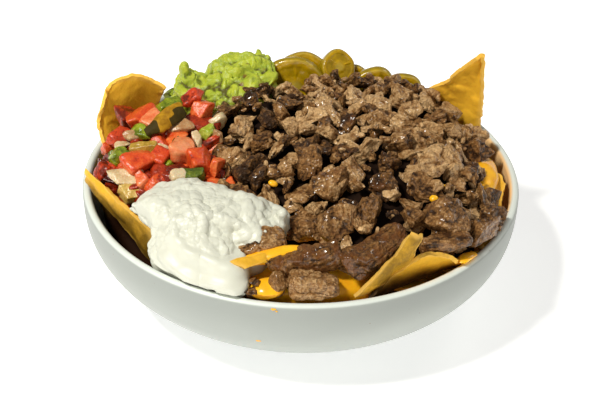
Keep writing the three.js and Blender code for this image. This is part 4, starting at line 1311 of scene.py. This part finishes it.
def build_beef(settings):
    """The beef heap: a core painted near-black as the shade in its gaps, the large pieces, the smaller
    ones between them and crumbs.
    """
    finish = beef_finish("grilled_beef", settings)
    grid, _ = heap_grid(BEEF, rows=60, columns=160, reach=-2, sink=7.0, clearance=CORE_ROOM)
    points, faces, _ = capped(roughened(grid, depth=1.6, size=7, octaves=3, salt=20))
    make_piece("beef_under", points, faces, beef_shade_finish(), ["beef_heap"])

    # Of the large pieces that are drawn, a quarter are flat and one in eight is knobbly.
    large, small = beef_layout(settings)
    at, size, turn, seed = large
    kind = draw(seed, 18)
    drawn = np.arange(len(seed)) < LARGE_CHUNKS
    flat = ((kind < 0.25) & drawn)[:, None]
    size = size * np.where(drawn, 0.95, 1.0)[:, None]
    size = np.where(flat, size * np.array([1.05, 1.15, 0.6]), size * np.array([1.0, 1.08, 1.22]))
    tilt = np.stack([draw(seed, 24) - 0.5, draw(seed, 25) - 0.5, 0 * seed], -1)
    turn = turn + np.where(drawn[:, None], 60, 12) * tilt
    power = np.where(flat[:, 0], 3.0, lerp(3.6, 9.0, draw(seed, 17)))
    curl = np.where(flat[:, 0], 0.4, 0.14) * (draw(seed, 19) - 0.5)
    knobs = np.where((kind > 0.88) & drawn, 0.8, 0.0)
    fat = LARGE_CHUNKS + FAT_PIECE
    knobs[fat] = 0.7
    size[fat] *= 0.8
    body, quads, look, strand = meat(
        at, size, turn, seed, cells=21, settings=settings, power=power, cuts=8, curl=curl,
        nearest=0.52, fray=lerp(0.03, 0.14, flat[:, 0]), knobs=knobs,
    )
    look[LARGE_CHUNKS:, :, 0] = np.array(LARGE_BEEF_TONES)[:, None]
    look[LARGE_CHUNKS:fat, :, 2] = 0.7
    make_beef(("chunks_inner", "chunks_middle", "chunks_outer"), (body, quads, look, strand), finish)

    seed = small[3]
    power, curl = lerp(2.6, 6.0, draw(seed, 17)), 0.6 * (draw(seed, 19) - 0.5)
    body, quads, look, strand = meat(
        *small, cells=12, settings=settings, power=power, cuts=7, curl=curl, nearest=0.54, fray=0.12
    )
    look[-len(LIP_CRUMBS):, :, 0] = 0.05
    make_beef(("shreds_low", "shreds_high"), (body, quads, look, strand), finish)

    at, _, _ = heap_spots(BEEF, settings.crumbs, reach=0.98, first=2.1)
    index = np.arange(settings.crumbs) + CRUMB_SEEDS
    long = lerp(*CRUMB_LENGTHS, draw(index, 1) ** 2)
    size = sizes(long, lerp(0.45, 0.9, draw(index, 2)), lerp(0.4, 0.8, draw(index, 3)))
    turn = 360 * np.stack([draw(index, 4), draw(index, 5), draw(index, 6)], -1)
    at = at + np.array([0, 0, 1.0]) * lerp(-3, 3, draw(index, 16))[:, None]
    pieces = meat(at, size, turn, index, cells=3, settings=settings, power=5.0, cuts=3)
    make_beef(("crumbs",), pieces, finish, clearance=2)


def build_loose_beef(settings):
    """The pieces of beef on the sauce: a knobbly cube, a small dark lump, two glazed strips and a
    wedge."""
    plain = beef_finish("grilled_beef_front", settings)
    glazed = beef_finish("glazed_beef", settings, wetness=0.16)
    for name, (at, size, turn, seed) in LOOSE_BEEF.items():
        growth, power, curl, knobs, taper, stringy, tone, moist = LOOSE_BEEF_FORMS[name]
        body, quads, look, strand = meat(
            [at], [np.array(size) * growth], [turn], [seed], cells=34, settings=settings,
            power=power, cuts=4, curl=curl, nearest=0.86, fray=0.05, knobs=knobs, taper=taper,
            stringy=stringy,
        )
        look[..., 0] = tone
        look[..., 2] = moist
        finish = glazed if "strip" in name else plain
        make_piece(name + "_meat", body[0], quads, finish, [name], look[0], strand[0])


def build_cream(settings):
    """Sour cream: the heap's skin with a low peak and round lumps on top. Towards the front it is
    smooth, and lies in long folds and in rolls along the lip. It keeps behind the left-hand chip,
    more so further down."""
    grid, shares = heap_grid(CREAM, rows=200, columns=380, reach=-1.0, undercut=0.9)
    x, y = grid[..., 0] - CREAM["centre"][0], grid[..., 1] - CREAM["centre"][1]
    grid[..., 2] += bell(grid[..., 0], grid[..., 1], CREAM_PEAK) * smooth(1.2, 1.0, shares)
    angle = np.arctan2(y, x)
    front = smooth(0.1, 0.9, np.cos(angle - math.radians(272))) * smooth(0.5, 0.85, shares)
    over_chip = 4.5 * smooth(65, 69, grid[..., 2])
    grid = behind_left_chip(grid, 2.2 - over_chip + 12 * smooth(64, 52, grid[..., 2]))

    warp = warped(grid, size=9, salt=100)
    lumps = 3.5 * pebbles((grid + 1.2 * warp) / 5.0, 103) + 0.9 * pebbles((grid + warp) / 2.4, 106)
    broad = fractal((grid + 3 * warp) / 10, octaves=2, salt=109)
    along = x * math.cos(0.35) - y * math.sin(0.35)
    height = grid[..., 2] + 0.22 * along
    fold_place = np.stack([along / 30, height / 7.0, y / 60], -1)
    folds = np.sqrt(noise(fold_place + 0.2 * warp, 112) ** 2 + 0.01)
    rolls = np.cos((height - 63) * 2 * np.pi / 8.5 + 1.2 * warp[..., 0])
    lumpy = lumps - 2.7 + 2.0 * broad
    folded = 1.6 * (folds - 0.2) + 1.0 * rolls + 0.4 * broad
    push = lerp(lumpy, folded, smooth(0.1, 0.55, front))
    push = push * smooth(1.9, 1.1, shares) + 2.0 * front * smooth(1.25, 1.0, shares)
    grid = inside_wall(grid + surface_normals(grid) * push[..., None], 0.5)
    grid = behind_left_chip(grid, 1.4 - over_chip)
    points, faces, _ = capped(grid)
    make_piece("sour_cream_dollop", points, faces, cream_finish(settings), ["sour_cream"])


def build_guacamole(settings):
    """Guacamole: the heap's skin with two spikes and two hollows, and with sharp warped ridges, knobs
    and lumps all over."""
    grid, shares = heap_grid(GUACAMOLE, rows=190, columns=360, undercut=0.9)
    hills = sum(bell(grid[..., 0], grid[..., 1], hill) for hill in GUACAMOLE_HILLS)
    grid[..., 2] += hills * smooth(1.05, 0.9, shares)
    warp = warped(grid, size=9, salt=120)
    ridges = np.abs(noise((grid + 4 * warp) / 8.0, 123))
    knobs = np.abs(noise((grid + 2.5 * warp) / 3.4, 124))
    lumps = pebbles((grid + 0.8 * warp) / 2.7, 125)
    push = (4.8 * (ridges - 0.32) + 1.7 * (knobs - 0.3) + 0.55 * (lumps - 0.7)) * smooth(1.95, 1.3, shares)
    grid = inside_wall(grid + surface_normals(grid) * push[..., None], 1.0)
    # Painted shade: crease is darker in the folds where ridges and knobs are low, and side browns the flank
    # a little.
    crease = np.clip(1.1 - 3.0 * ridges - 1.2 * knobs, 0, 1)
    side = smooth(1.0, 1.4, shares) * 0.12
    points, faces, values = capped(grid, np.stack([crease, side, crease * 0], -1))
    finish = guacamole_finish(settings)
    make_piece("guacamole_mash", points, faces, finish, ["guacamole"], values)


def build_salsa(settings):
    """Fresh salsa: a core painted dark red as the shade between the pieces, under cut tomato, onion
    and pepper, one object for each kind.
    """
    finishes = salsa_finishes(settings)
    grid, _ = heap_grid(SALSA, rows=40, columns=120, reach=-1.5, sink=7.5, clearance=CORE_ROOM)
    grid = roughened(grid, depth=1.4, size=6, octaves=3, salt=140)
    # Painted shade: the core takes the shaded tomato at its darkest, deep in its creases.
    points, faces, values = capped(grid, np.broadcast_to((0.0, 0.8, 0.0), grid.shape))
    make_piece("salsa_under", points, faces, finishes["dark_tomato"], ["salsa_heap"], values)

    at, _, _ = heap_spots(SALSA, settings.dice, reach=0.97, first=0.4)
    index = np.arange(settings.dice) + SALSA_SEEDS
    starts, names = zip(*SALSA_CHANCES)
    kinds = [names[place - 1] for place in np.searchsorted(starts, draw(index, 90), side="right")]
    long = lerp(*SALSA_LENGTHS, draw(index, 91))
    size = sizes(long, lerp(0.6, 0.95, draw(index, 92)), lerp(0.45, 0.8, draw(index, 93)))
    turn = np.stack([80 * (draw(index, 95) - 0.5), 80 * (draw(index, 96) - 0.5), 360 * draw(index, 94)], -1)
    at = inside_wall(at - np.array([0, 0, 4.2]), long * 0.6)
    places = list(zip(kinds, at, size, turn)) + list(SALSA_TOP)
    for kind, finish in finishes.items():
        mine = [(number, *place[1:]) for number, place in enumerate(places) if place[0] == kind]
        seed, at, size, turn = (np.array(column, float) for column in zip(*mine))
        roundness = 6.0 if kind == "onion" else 11.0
        body, quads, look = dice(at, size, turn, seed, cells=12, roundness=roundness, relief=0.2)
        body = inside_wall(behind_left_chip(body, 2.0), 1.1)
        points, faces = many(body, quads)
        make_piece("salsa_" + kind, points, faces, finish, ["salsa_heap"], look.reshape(-1, 3))


def build_pepper_strip():
    """The roasted strip: a flat oval profile carried along its way, narrower to the left and bent
    across, with two charred ends."""
    rows, columns = 90, 64
    along = np.linspace(0.004, 0.996, rows)
    way = np.array(STRIP_WAY, float)
    middle = np.stack([along_list(way[:, axis], along) for axis in range(3)], -1)
    swell = np.sin(np.pi * along) ** 0.10 * lerp(0.55, 1.0, smooth(0.0, 0.5, along))
    angle = np.linspace(0, 2 * np.pi, columns, endpoint=False)
    share, turn = np.meshgrid(swell, angle, indexing="ij")
    lean = math.radians(STRIP_LEAN)
    across = STRIP_WIDTH * share * np.sign(np.cos(turn)) * np.abs(np.cos(turn)) ** 0.8
    rise = STRIP_DEPTH * share * np.sin(turn) + 0.6 * np.cos(across / STRIP_WIDTH * 2.2)
    grid = np.stack([
        middle[:, None, 0] + 0.55 * across,
        middle[:, None, 1] - across * math.cos(lean) - rise * math.sin(lean),
        middle[:, None, 2] - across * math.sin(lean) + rise * math.cos(lean),
    ], -1)
    grid = roughened(grid[::-1], depth=0.5, size=5, octaves=3, salt=150)
    place = along[::-1, None] + 0.10 * noise(grid / 4, 154)
    lower = np.cos(turn[::-1]) + 0.5 * noise(grid / 4, 156)
    char = smooth(0.32, 0.24, place) + smooth(0.54, 0.60, place) * smooth(-0.35, 0.05, lower)
    points, faces, values = capped(grid, np.stack([char, char * 0, char * 0], -1))
    finish = roasted_finish()
    make_piece("roasted_strip", points, faces, finish, ["pepper_strip"], values)


def slice_grid(number, radius, half):
    """A pepper slice about the origin, and its look: a flat profile with round corners turned round,
    with a wavy outline, a slightly domed top and a ring of chambers, which are sunk where
    |sin 1.5 a|^0.7 is high and leave ribs between them."""
    rows, columns = 52, 120
    corner = min(1.3, half * 0.5)
    knots = np.array([
        (0.02, half), (0.34, half), (0.5, half), (0.68, half), (0.78, half), (0.90, half),
        (1.0 - 0.35 * corner / radius, half - 0.25 * corner), (1.0, half - corner), (1.02, 0.0),
        (1.0, corner - half), (1.0 - 0.8 * corner / radius, -half), (0.6, -half), (0.02, -half),
    ])
    profile = [along_list(knots[:, column], np.linspace(0, 1, rows)) for column in (0, 1)]
    angle = np.linspace(0, 2 * np.pi, columns, endpoint=False)
    wavy = 1 + 0.035 * np.sin(3 * angle + number) + 0.02 * np.sin(5 * angle + 2 * number)
    reach, turn = np.meshgrid(profile[0], angle, indexing="ij")
    level = np.broadcast_to(profile[1][:, None], reach.shape)
    on_top = smooth(half - 1.2, half - 0.1, level)
    ribs = np.abs(np.sin(1.5 * turn + number)) ** 0.7
    chamber = smooth(0.28, 0.42, reach) * smooth(0.80, 0.68, reach) * smooth(0.12, 0.4, ribs) * on_top
    out = radius * reach * wavy
    grid = np.stack([out * np.cos(turn), out * np.sin(turn), level - 0.45 * chamber], -1)
    dome = 0.9 * on_top * (1 - np.minimum(reach, 1) ** 4)
    grid[..., 2] += 0.35 * noise(grid / 5 + 9.0 * number, 160) + dome
    # A painted highlight: a pale ring on the top just inside the edge; the middle is pale of itself, and the
    # chambers carry painted shade.
    ring = smooth(0.05, 0.0, np.abs(reach - 0.94)) * on_top * 0.35
    pale = ring + 0.3 * smooth(0.3, 0.18, reach) * on_top
    return grid, np.stack([smooth(0.955, 1.0, reach), pale, chamber], -1)


def slice_seeds(number, radius, half, ball):
    """The flat seeds of a slice, about the origin: stretched balls spread round it by chance."""
    seeds = []
    for k in range(SEEDS_IN_A_SLICE):
        spin = 2 * math.pi * (k + 0.9 * draw(k + 10 * number, 1)) / SEEDS_IN_A_SLICE
        out = radius * lerp(0.42, 0.66, draw(k + 10 * number, 2))
        lie = turned([(20 * draw(k, 3), 20 * draw(k, 4), 360 * draw(k + number, 5))])[0]
        middle = np.array([out * math.cos(spin), out * math.sin(spin), half - 0.8])
        seeds.append((ball * np.array([1.5, 1.1, 0.45])) @ lie.T + middle)
    return seeds


def build_slices(settings):
    """The pickled pepper slices, leaning, and the seeds in their chambers."""
    finish = pickle_finish(settings)
    ball, ball_faces = ball_grid(5)
    seeds = []
    for number, (name, (at, part, thick, lean)) in enumerate(SLICES.items()):
        radius, half = SLICE_RADIUS * part, thick / 2
        matrix = turned([(*lean, 0)], "yx")[0]
        grid, values = slice_grid(number, radius, half)
        points, faces, values = capped(grid @ matrix.T + np.array(at), values)
        make_piece(name + "_slice", points, faces, finish, [name], values)
        seeds += [seed @ matrix.T + np.array(at) for seed in slice_seeds(number, radius, half, ball)]
    points, faces = many(np.array(seeds), ball_faces)
    finish = vegetable_finish("pepper_seeds", ((0.55, 0.38, 0.08), (0.74, 0.60, 0.24)), roughness=0.3)
    values = np.broadcast_to((0.6, 0.0, 0.0), points.shape)
    make_piece("pepper_seeds", points, faces, finish, list(SLICES), values)


def add_thickness(piece, settings):
    """Gives a chip's sheet its thickness, and rounds its edges."""
    wall = piece.modifiers.new("thickness", "SOLIDIFY")
    wall.thickness = settings.chip_thickness
    wall.offset = 0.0
    edge = piece.modifiers.new("round_edges", "BEVEL")
    edge.width = 0.45 * MM
    edge.segments = 2
    edge.limit_method = "ANGLE"
    edge.angle_limit = math.radians(50)


def build_chips(settings):
    """The tortilla chips that stand out, each a blistered sheet with thickness."""
    finish = chip_finish(settings)
    for number, (name, form) in enumerate(CHIPS.items()):
        grid, values = chip_surface(*form, CHIP_ROWS, 7.7 * number, *CHIP_TONES.get(name, ()))
        points, faces = grid.reshape(-1, 3), sheet_faces(CHIP_ROWS, CHIP_ROWS)
        piece = make_piece(name + "_fried", points, faces, finish, [name], values.reshape(-1, 3))
        add_thickness(piece, settings)


def build_bed(settings):
    """The chips at the bottom: a core that follows the wall, and loose chips over it where it shows.
    The core is a disc of rings with the bed's hills, then rings down the inside of the wall."""
    finish = chip_finish(settings)
    rows, columns, side_rows = 70, 180, 13
    angle = np.linspace(0, 2 * np.pi, columns, endpoint=False)
    share, turn = np.meshgrid(np.linspace(0.01, 1, rows) ** 0.7, angle, indexing="ij")
    reach = share * (inner_radius(40) - 3.6)
    x, y = reach * np.cos(turn), reach * np.sin(turn)
    grid = inside_wall(np.stack([x, y, bed_top(x, y) - 1.5], -1), CORE_ROOM)
    rim = grid[-1]
    height = lerp(rim[None, :, 2], FLOOR + 0.6, np.linspace(0, 1, side_rows + 1)[1:, None])
    radius = np.minimum(inner_radius(height) - CORE_ROOM, np.hypot(rim[:, 0], rim[:, 1]))
    side = np.stack([radius * np.cos(angle), radius * np.sin(angle), height], -1)
    grid = np.concatenate([grid, side])
    on_top = np.concatenate([np.ones(rows), np.zeros(side_rows)])[:, None]
    grid = roughened(grid, depth=1.1 * on_top, size=12, octaves=3, salt=170)
    # Painted shade: the bed turns near-black low down, where the gaps between the chips lie in shade.
    soaked = smooth(46, 40, grid[..., 2])
    points, faces, values = capped(grid, np.stack([0 * soaked, 0.5 + 0 * soaked, soaked], -1))
    under = chip_finish(settings, "shaded_tortilla", shine=0.03)
    make_piece("chips_under", points, faces, under, ["chip_bed"], values)

    sheets, looks = [], []
    for k in range(LOOSE_CHIPS):
        azimuth = math.radians(lerp(*LOOSE_CHIP_AZIMUTHS, (k + 0.6 * draw(k, 61)) / LOOSE_CHIPS))
        out = lerp(*LOOSE_CHIP_DISTANCES, draw(k, 62))
        middle = np.array([out * math.cos(azimuth), out * math.sin(azimuth), 0])
        middle[2] = bed_top(middle[0], middle[1]) + 1.0
        size = lerp(*LOOSE_CHIP_REACHES, draw(k, 63))
        spin = math.degrees(azimuth) + 90 * draw(k, 64)
        matrix = turned([(lerp(-14, 14, draw(k, 65)), lerp(-14, 14, draw(k, 66)), spin)])[0]
        corners = size * np.array([(-1, -0.7, 0), (1, -0.6, 0), (0.3, 1, 0), (-0.3, 1, 0)])
        corners = inside_wall(corners @ matrix.T + middle, CORE_ROOM)
        bow = 2.0 * (draw(k, 67) - 0.3)
        grid, look = chip_surface(
            corners, bulge=(1, 1, 0, 1), bow=bow, ripple=0.5, rows=LOOSE_CHIP_ROWS, seed=3.3 * k
        )
        sheets.append(inside_wall(grid, 2.4).reshape(-1, 3))
        looks.append(look.reshape(-1, 3))
    points, faces = many(np.array(sheets), sheet_faces(LOOSE_CHIP_ROWS, LOOSE_CHIP_ROWS))
    look = np.concatenate(looks)
    piece = make_piece("chips_loose", points, faces, finish, ["chip_bed"], look)
    add_thickness(piece, settings)


def build_sauce(settings):
    """Cheese sauce: a crescent along the wall whose section is a flat round form, with slow waves."""
    rows, columns = 320, 96
    angle = np.linspace(0, 2 * np.pi, columns, endpoint=False)
    share, turn = np.meshgrid(np.linspace(0.002, 0.998, rows), angle, indexing="ij")
    azimuth = np.radians(lerp(SAUCE["from"], SAUCE["to"], share))
    swell = np.sin(np.pi * share) ** 0.35
    outer, crest = along_list(SAUCE["outer"], share), along_list(SAUCE["crest"], share)
    across = swell * np.cos(turn)
    rise = np.sign(np.sin(turn)) * np.abs(np.sin(turn)) ** 0.6 * swell
    reach = (SAUCE["inner"] + outer) / 2 + (outer - SAUCE["inner"]) / 2 * across
    height = (crest + SOLE) / 2 + (crest - SOLE) / 2 * rise
    grid = np.stack([reach * np.cos(azimuth), reach * np.sin(azimuth), height], -1)
    grid = inside_wall(roughened(grid, depth=1.3, size=13, octaves=2, salt=180), 1.0)
    points, faces, _ = capped(grid)
    make_piece("cheese_sauce_pool", points, faces, sauce_finish(settings), ["cheese_sauce"])


def build_spots(settings):
    """Cheese sauce that hangs over the right-hand chip, lies at the front lip and shows in small
    spots between the pieces of beef: flattened balls pushed out by slow noise. Thin smears of it, as
    uneven flat balls, lie on the outer wall."""
    finish = sauce_finish(settings)
    at, size, turn = (np.array([spot[part] for spot in SAUCE_SPOTS], float) for part in range(3))
    ball, faces = ball_grid(20)
    body = put_down(ball[None] * size[:, None] / 2, turn, at)
    push = size.min(-1)[:, None] * 0.12 * fractal(body / 13, octaves=2, salt=190)
    body = body + ball[None] * push[..., None]
    points, faces = many(inside_wall(body, 1.0), faces)
    make_piece("cheese_sauce_spots", points, faces, finish, ["cheese_sauce"])

    smears = []
    ball, faces = ball_grid(7)
    for azimuth, height, wide, tall in SMEARS:
        angle = math.radians(azimuth)
        out = np.array([math.cos(angle), math.sin(angle), 0])
        along = np.array([-math.sin(angle), math.cos(angle), 0])
        up = (outer_radius(height + 0.5) - outer_radius(height - 0.5)) * out + np.array([0, 0, 1.0])
        up /= np.linalg.norm(up)
        axes = np.stack([along * wide / 2, up * tall / 2, np.cross(along, up) * 0.3])
        uneven = 1 + 0.4 * noise(ball * 1.6 + azimuth, 195)[:, None]
        smears.append(outer_radius(height) * out + np.array([0, 0, height]) + (ball * uneven) @ axes)
    points, faces = many(np.array(smears), faces)
    make_piece("sauce_smears", points, faces, finish, ["cheese_sauce"])


# ---------------------------------------------------------------- floor, light and camera


def floor_finish():
    """A pale floor that glows a little, so that it stays light far out."""
    paint = Paint("pale_floor")
    return paint.surface(
        base_color=paint.ramp(paint.grain(600, 2), (0.3, (0.93, 0.93, 0.93)), (0.7, (0.95, 0.95, 0.95))),
        roughness=0.9,
        specular_ior_level=0.1,
        emission_color=(1, 1, 1),
        emission_strength=0.5,
    )


def build_floor(scene):
    """A square floor at the foot of the bowl."""
    mesh = bpy.data.meshes.new("floor")
    corners = [(x * FLOOR_REACH, y * FLOOR_REACH, 0) for x, y in ((-1, -1), (1, -1), (1, 1), (-1, 1))]
    mesh.from_pydata(corners, [], [(0, 1, 2, 3)])
    mesh.materials.append(floor_finish())
    floor = bpy.data.objects.new("floor", mesh)
    scene.collection.objects.link(floor)


def build_lights(scene):
    """A pale sky, and soft lamps above and at both sides that point at the food."""
    world = bpy.data.worlds.new("soft_room")
    scene.world = world
    world.use_nodes = True
    sky = world.node_tree.nodes["Background"]
    sky.inputs["Color"].default_value = SKY_COLOUR
    sky.inputs["Strength"].default_value = SKY_STRENGTH
    food = Vector((0, 0, 0.05))
    for name, place, size, power in LAMPS:
        light = bpy.data.lights.new(name, "AREA")
        light.shape = "DISK"
        light.size = size
        light.energy = power
        light.color = LAMP_COLOUR
        lamp = bpy.data.objects.new(name, light)
        scene.collection.objects.link(lamp)
        lamp.location = place
        lamp.rotation_euler = (food - Vector(place)).to_track_quat("-Z", "Y").to_euler()


def build_camera(scene):
    """The camera: back from the target along the view, then rolled and tilted up a little."""
    elevation, tilt, roll = (math.radians(value) for value in (VIEW_ELEVATION, VIEW_TILT, VIEW_ROLL))
    forward = Vector((0, math.cos(elevation), -math.sin(elevation)))
    place = Vector(TARGET) * MM - forward * VIEW_DISTANCE * MM
    level = Vector((1, 0, 0))
    over = level.cross(forward)
    right = math.cos(roll) * level + math.sin(roll) * over
    up = -math.sin(roll) * level + math.cos(roll) * over
    ahead = math.cos(tilt) * forward + math.sin(tilt) * up
    up = math.cos(tilt) * up - math.sin(tilt) * forward
    lens = bpy.data.cameras.new("camera")
    lens.lens = LENS
    lens.clip_start = 0.01
    lens.clip_end = 50.0
    camera = bpy.data.objects.new("camera", lens)
    scene.collection.objects.link(camera)
    turn = Matrix((right, up, -ahead)).transposed()
    camera.matrix_world = Matrix.Translation(place) @ turn.to_4x4()
    scene.camera = camera


def build_stage():
    """The floor, the lights and the camera, with plain colours."""
    scene = bpy.context.scene
    build_floor(scene)
    build_lights(scene)
    build_camera(scene)
    scene.view_settings.view_transform = "Standard"
    scene.view_settings.look = "None"
    scene.view_settings.exposure = 0.0


# ---------------------------------------------------------------- operators, panel and registration


class NACHOS_OT_stage(bpy.types.Operator):
    """Make the floor, the lights and the camera"""

    bl_idname = "nachos.stage"
    bl_label = "Stage"

    def execute(self, context):
        build_stage()
        return {"FINISHED"}


class NACHOS_OT_bowl(bpy.types.Operator):
    """Make the stoneware bowl"""

    bl_idname = "nachos.bowl"
    bl_label = "Bowl"

    def execute(self, context):
        build_bowl(context.scene.nachos_bowl)
        return {"FINISHED"}


class NACHOS_OT_chips(bpy.types.Operator):
    """Make the tortilla chips and the chips at the bottom"""

    bl_idname = "nachos.chips"
    bl_label = "Tortilla chips"

    def execute(self, context):
        build_chips(context.scene.nachos_toppings)
        build_bed(context.scene.nachos_toppings)
        return {"FINISHED"}


class NACHOS_OT_sauce(bpy.types.Operator):
    """Make the cheese sauce"""

    bl_idname = "nachos.sauce"
    bl_label = "Cheese sauce"

    def execute(self, context):
        build_sauce(context.scene.nachos_toppings)
        build_spots(context.scene.nachos_toppings)
        return {"FINISHED"}


class NACHOS_OT_beef(bpy.types.Operator):
    """Make the heap of chopped beef and the pieces that lie in front of it"""

    bl_idname = "nachos.beef"
    bl_label = "Chopped beef"

    def execute(self, context):
        build_beef(context.scene.nachos_beef)
        build_loose_beef(context.scene.nachos_beef)
        return {"FINISHED"}


class NACHOS_OT_cream(bpy.types.Operator):
    """Make the sour cream"""

    bl_idname = "nachos.cream"
    bl_label = "Sour cream"

    def execute(self, context):
        build_cream(context.scene.nachos_toppings)
        return {"FINISHED"}


class NACHOS_OT_guacamole(bpy.types.Operator):
    """Make the guacamole"""

    bl_idname = "nachos.guacamole"
    bl_label = "Guacamole"

    def execute(self, context):
        build_guacamole(context.scene.nachos_toppings)
        return {"FINISHED"}


class NACHOS_OT_salsa(bpy.types.Operator):
    """Make the salsa and the roasted pepper strip on it"""

    bl_idname = "nachos.salsa"
    bl_label = "Salsa"

    def execute(self, context):
        build_salsa(context.scene.nachos_toppings)
        build_pepper_strip()
        return {"FINISHED"}


class NACHOS_OT_slices(bpy.types.Operator):
    """Make the pickled pepper slices"""

    bl_idname = "nachos.slices"
    bl_label = "Pickled pepper slices"

    def execute(self, context):
        build_slices(context.scene.nachos_toppings)
        return {"FINISHED"}


OPERATORS = (
    NACHOS_OT_stage,
    NACHOS_OT_bowl,
    NACHOS_OT_chips,
    NACHOS_OT_sauce,
    NACHOS_OT_cream,
    NACHOS_OT_guacamole,
    NACHOS_OT_slices,
    NACHOS_OT_salsa,
    NACHOS_OT_beef,
)


class NACHOS_PT_panel(bpy.types.Panel):
    """Lists the operators in the order in which the bowl is filled"""

    bl_idname = "NACHOS_PT_panel"
    bl_label = "Loaded nachos"
    bl_space_type = "VIEW_3D"
    bl_region_type = "UI"
    bl_category = "Nachos"

    def draw(self, context):
        for operator in OPERATORS:
            self.layout.operator(operator.bl_idname)
        for group in ("nachos_bowl", "nachos_beef", "nachos_toppings"):
            settings = getattr(context.scene, group)
            for name in settings.bl_rna.properties.keys():
                if name not in ("rna_type", "name"):
                    self.layout.prop(settings, name)


CLASSES = (NachosBowlSettings, NachosBeefSettings, NachosToppingSettings, *OPERATORS, NACHOS_PT_panel)


def register():
    """Makes the operators, the panel and the settings known."""
    for item in CLASSES:
        bpy.utils.register_class(item)
    bpy.types.Scene.nachos_bowl = PointerProperty(type=NachosBowlSettings)
    bpy.types.Scene.nachos_beef = PointerProperty(type=NachosBeefSettings)
    bpy.types.Scene.nachos_toppings = PointerProperty(type=NachosToppingSettings)


def unregister():
    """Takes back what register made known."""
    for name in ("nachos_bowl", "nachos_beef", "nachos_toppings"):
        delattr(bpy.types.Scene, name)
    for item in reversed(CLASSES):
        bpy.utils.unregister_class(item)


def main():
    """Makes every piece in the panel's order."""
    register()
    for operator in OPERATORS:
        group, name = operator.bl_idname.split(".")
        getattr(getattr(bpy.ops, group), name)()


if __name__ == "__main__":
    main()
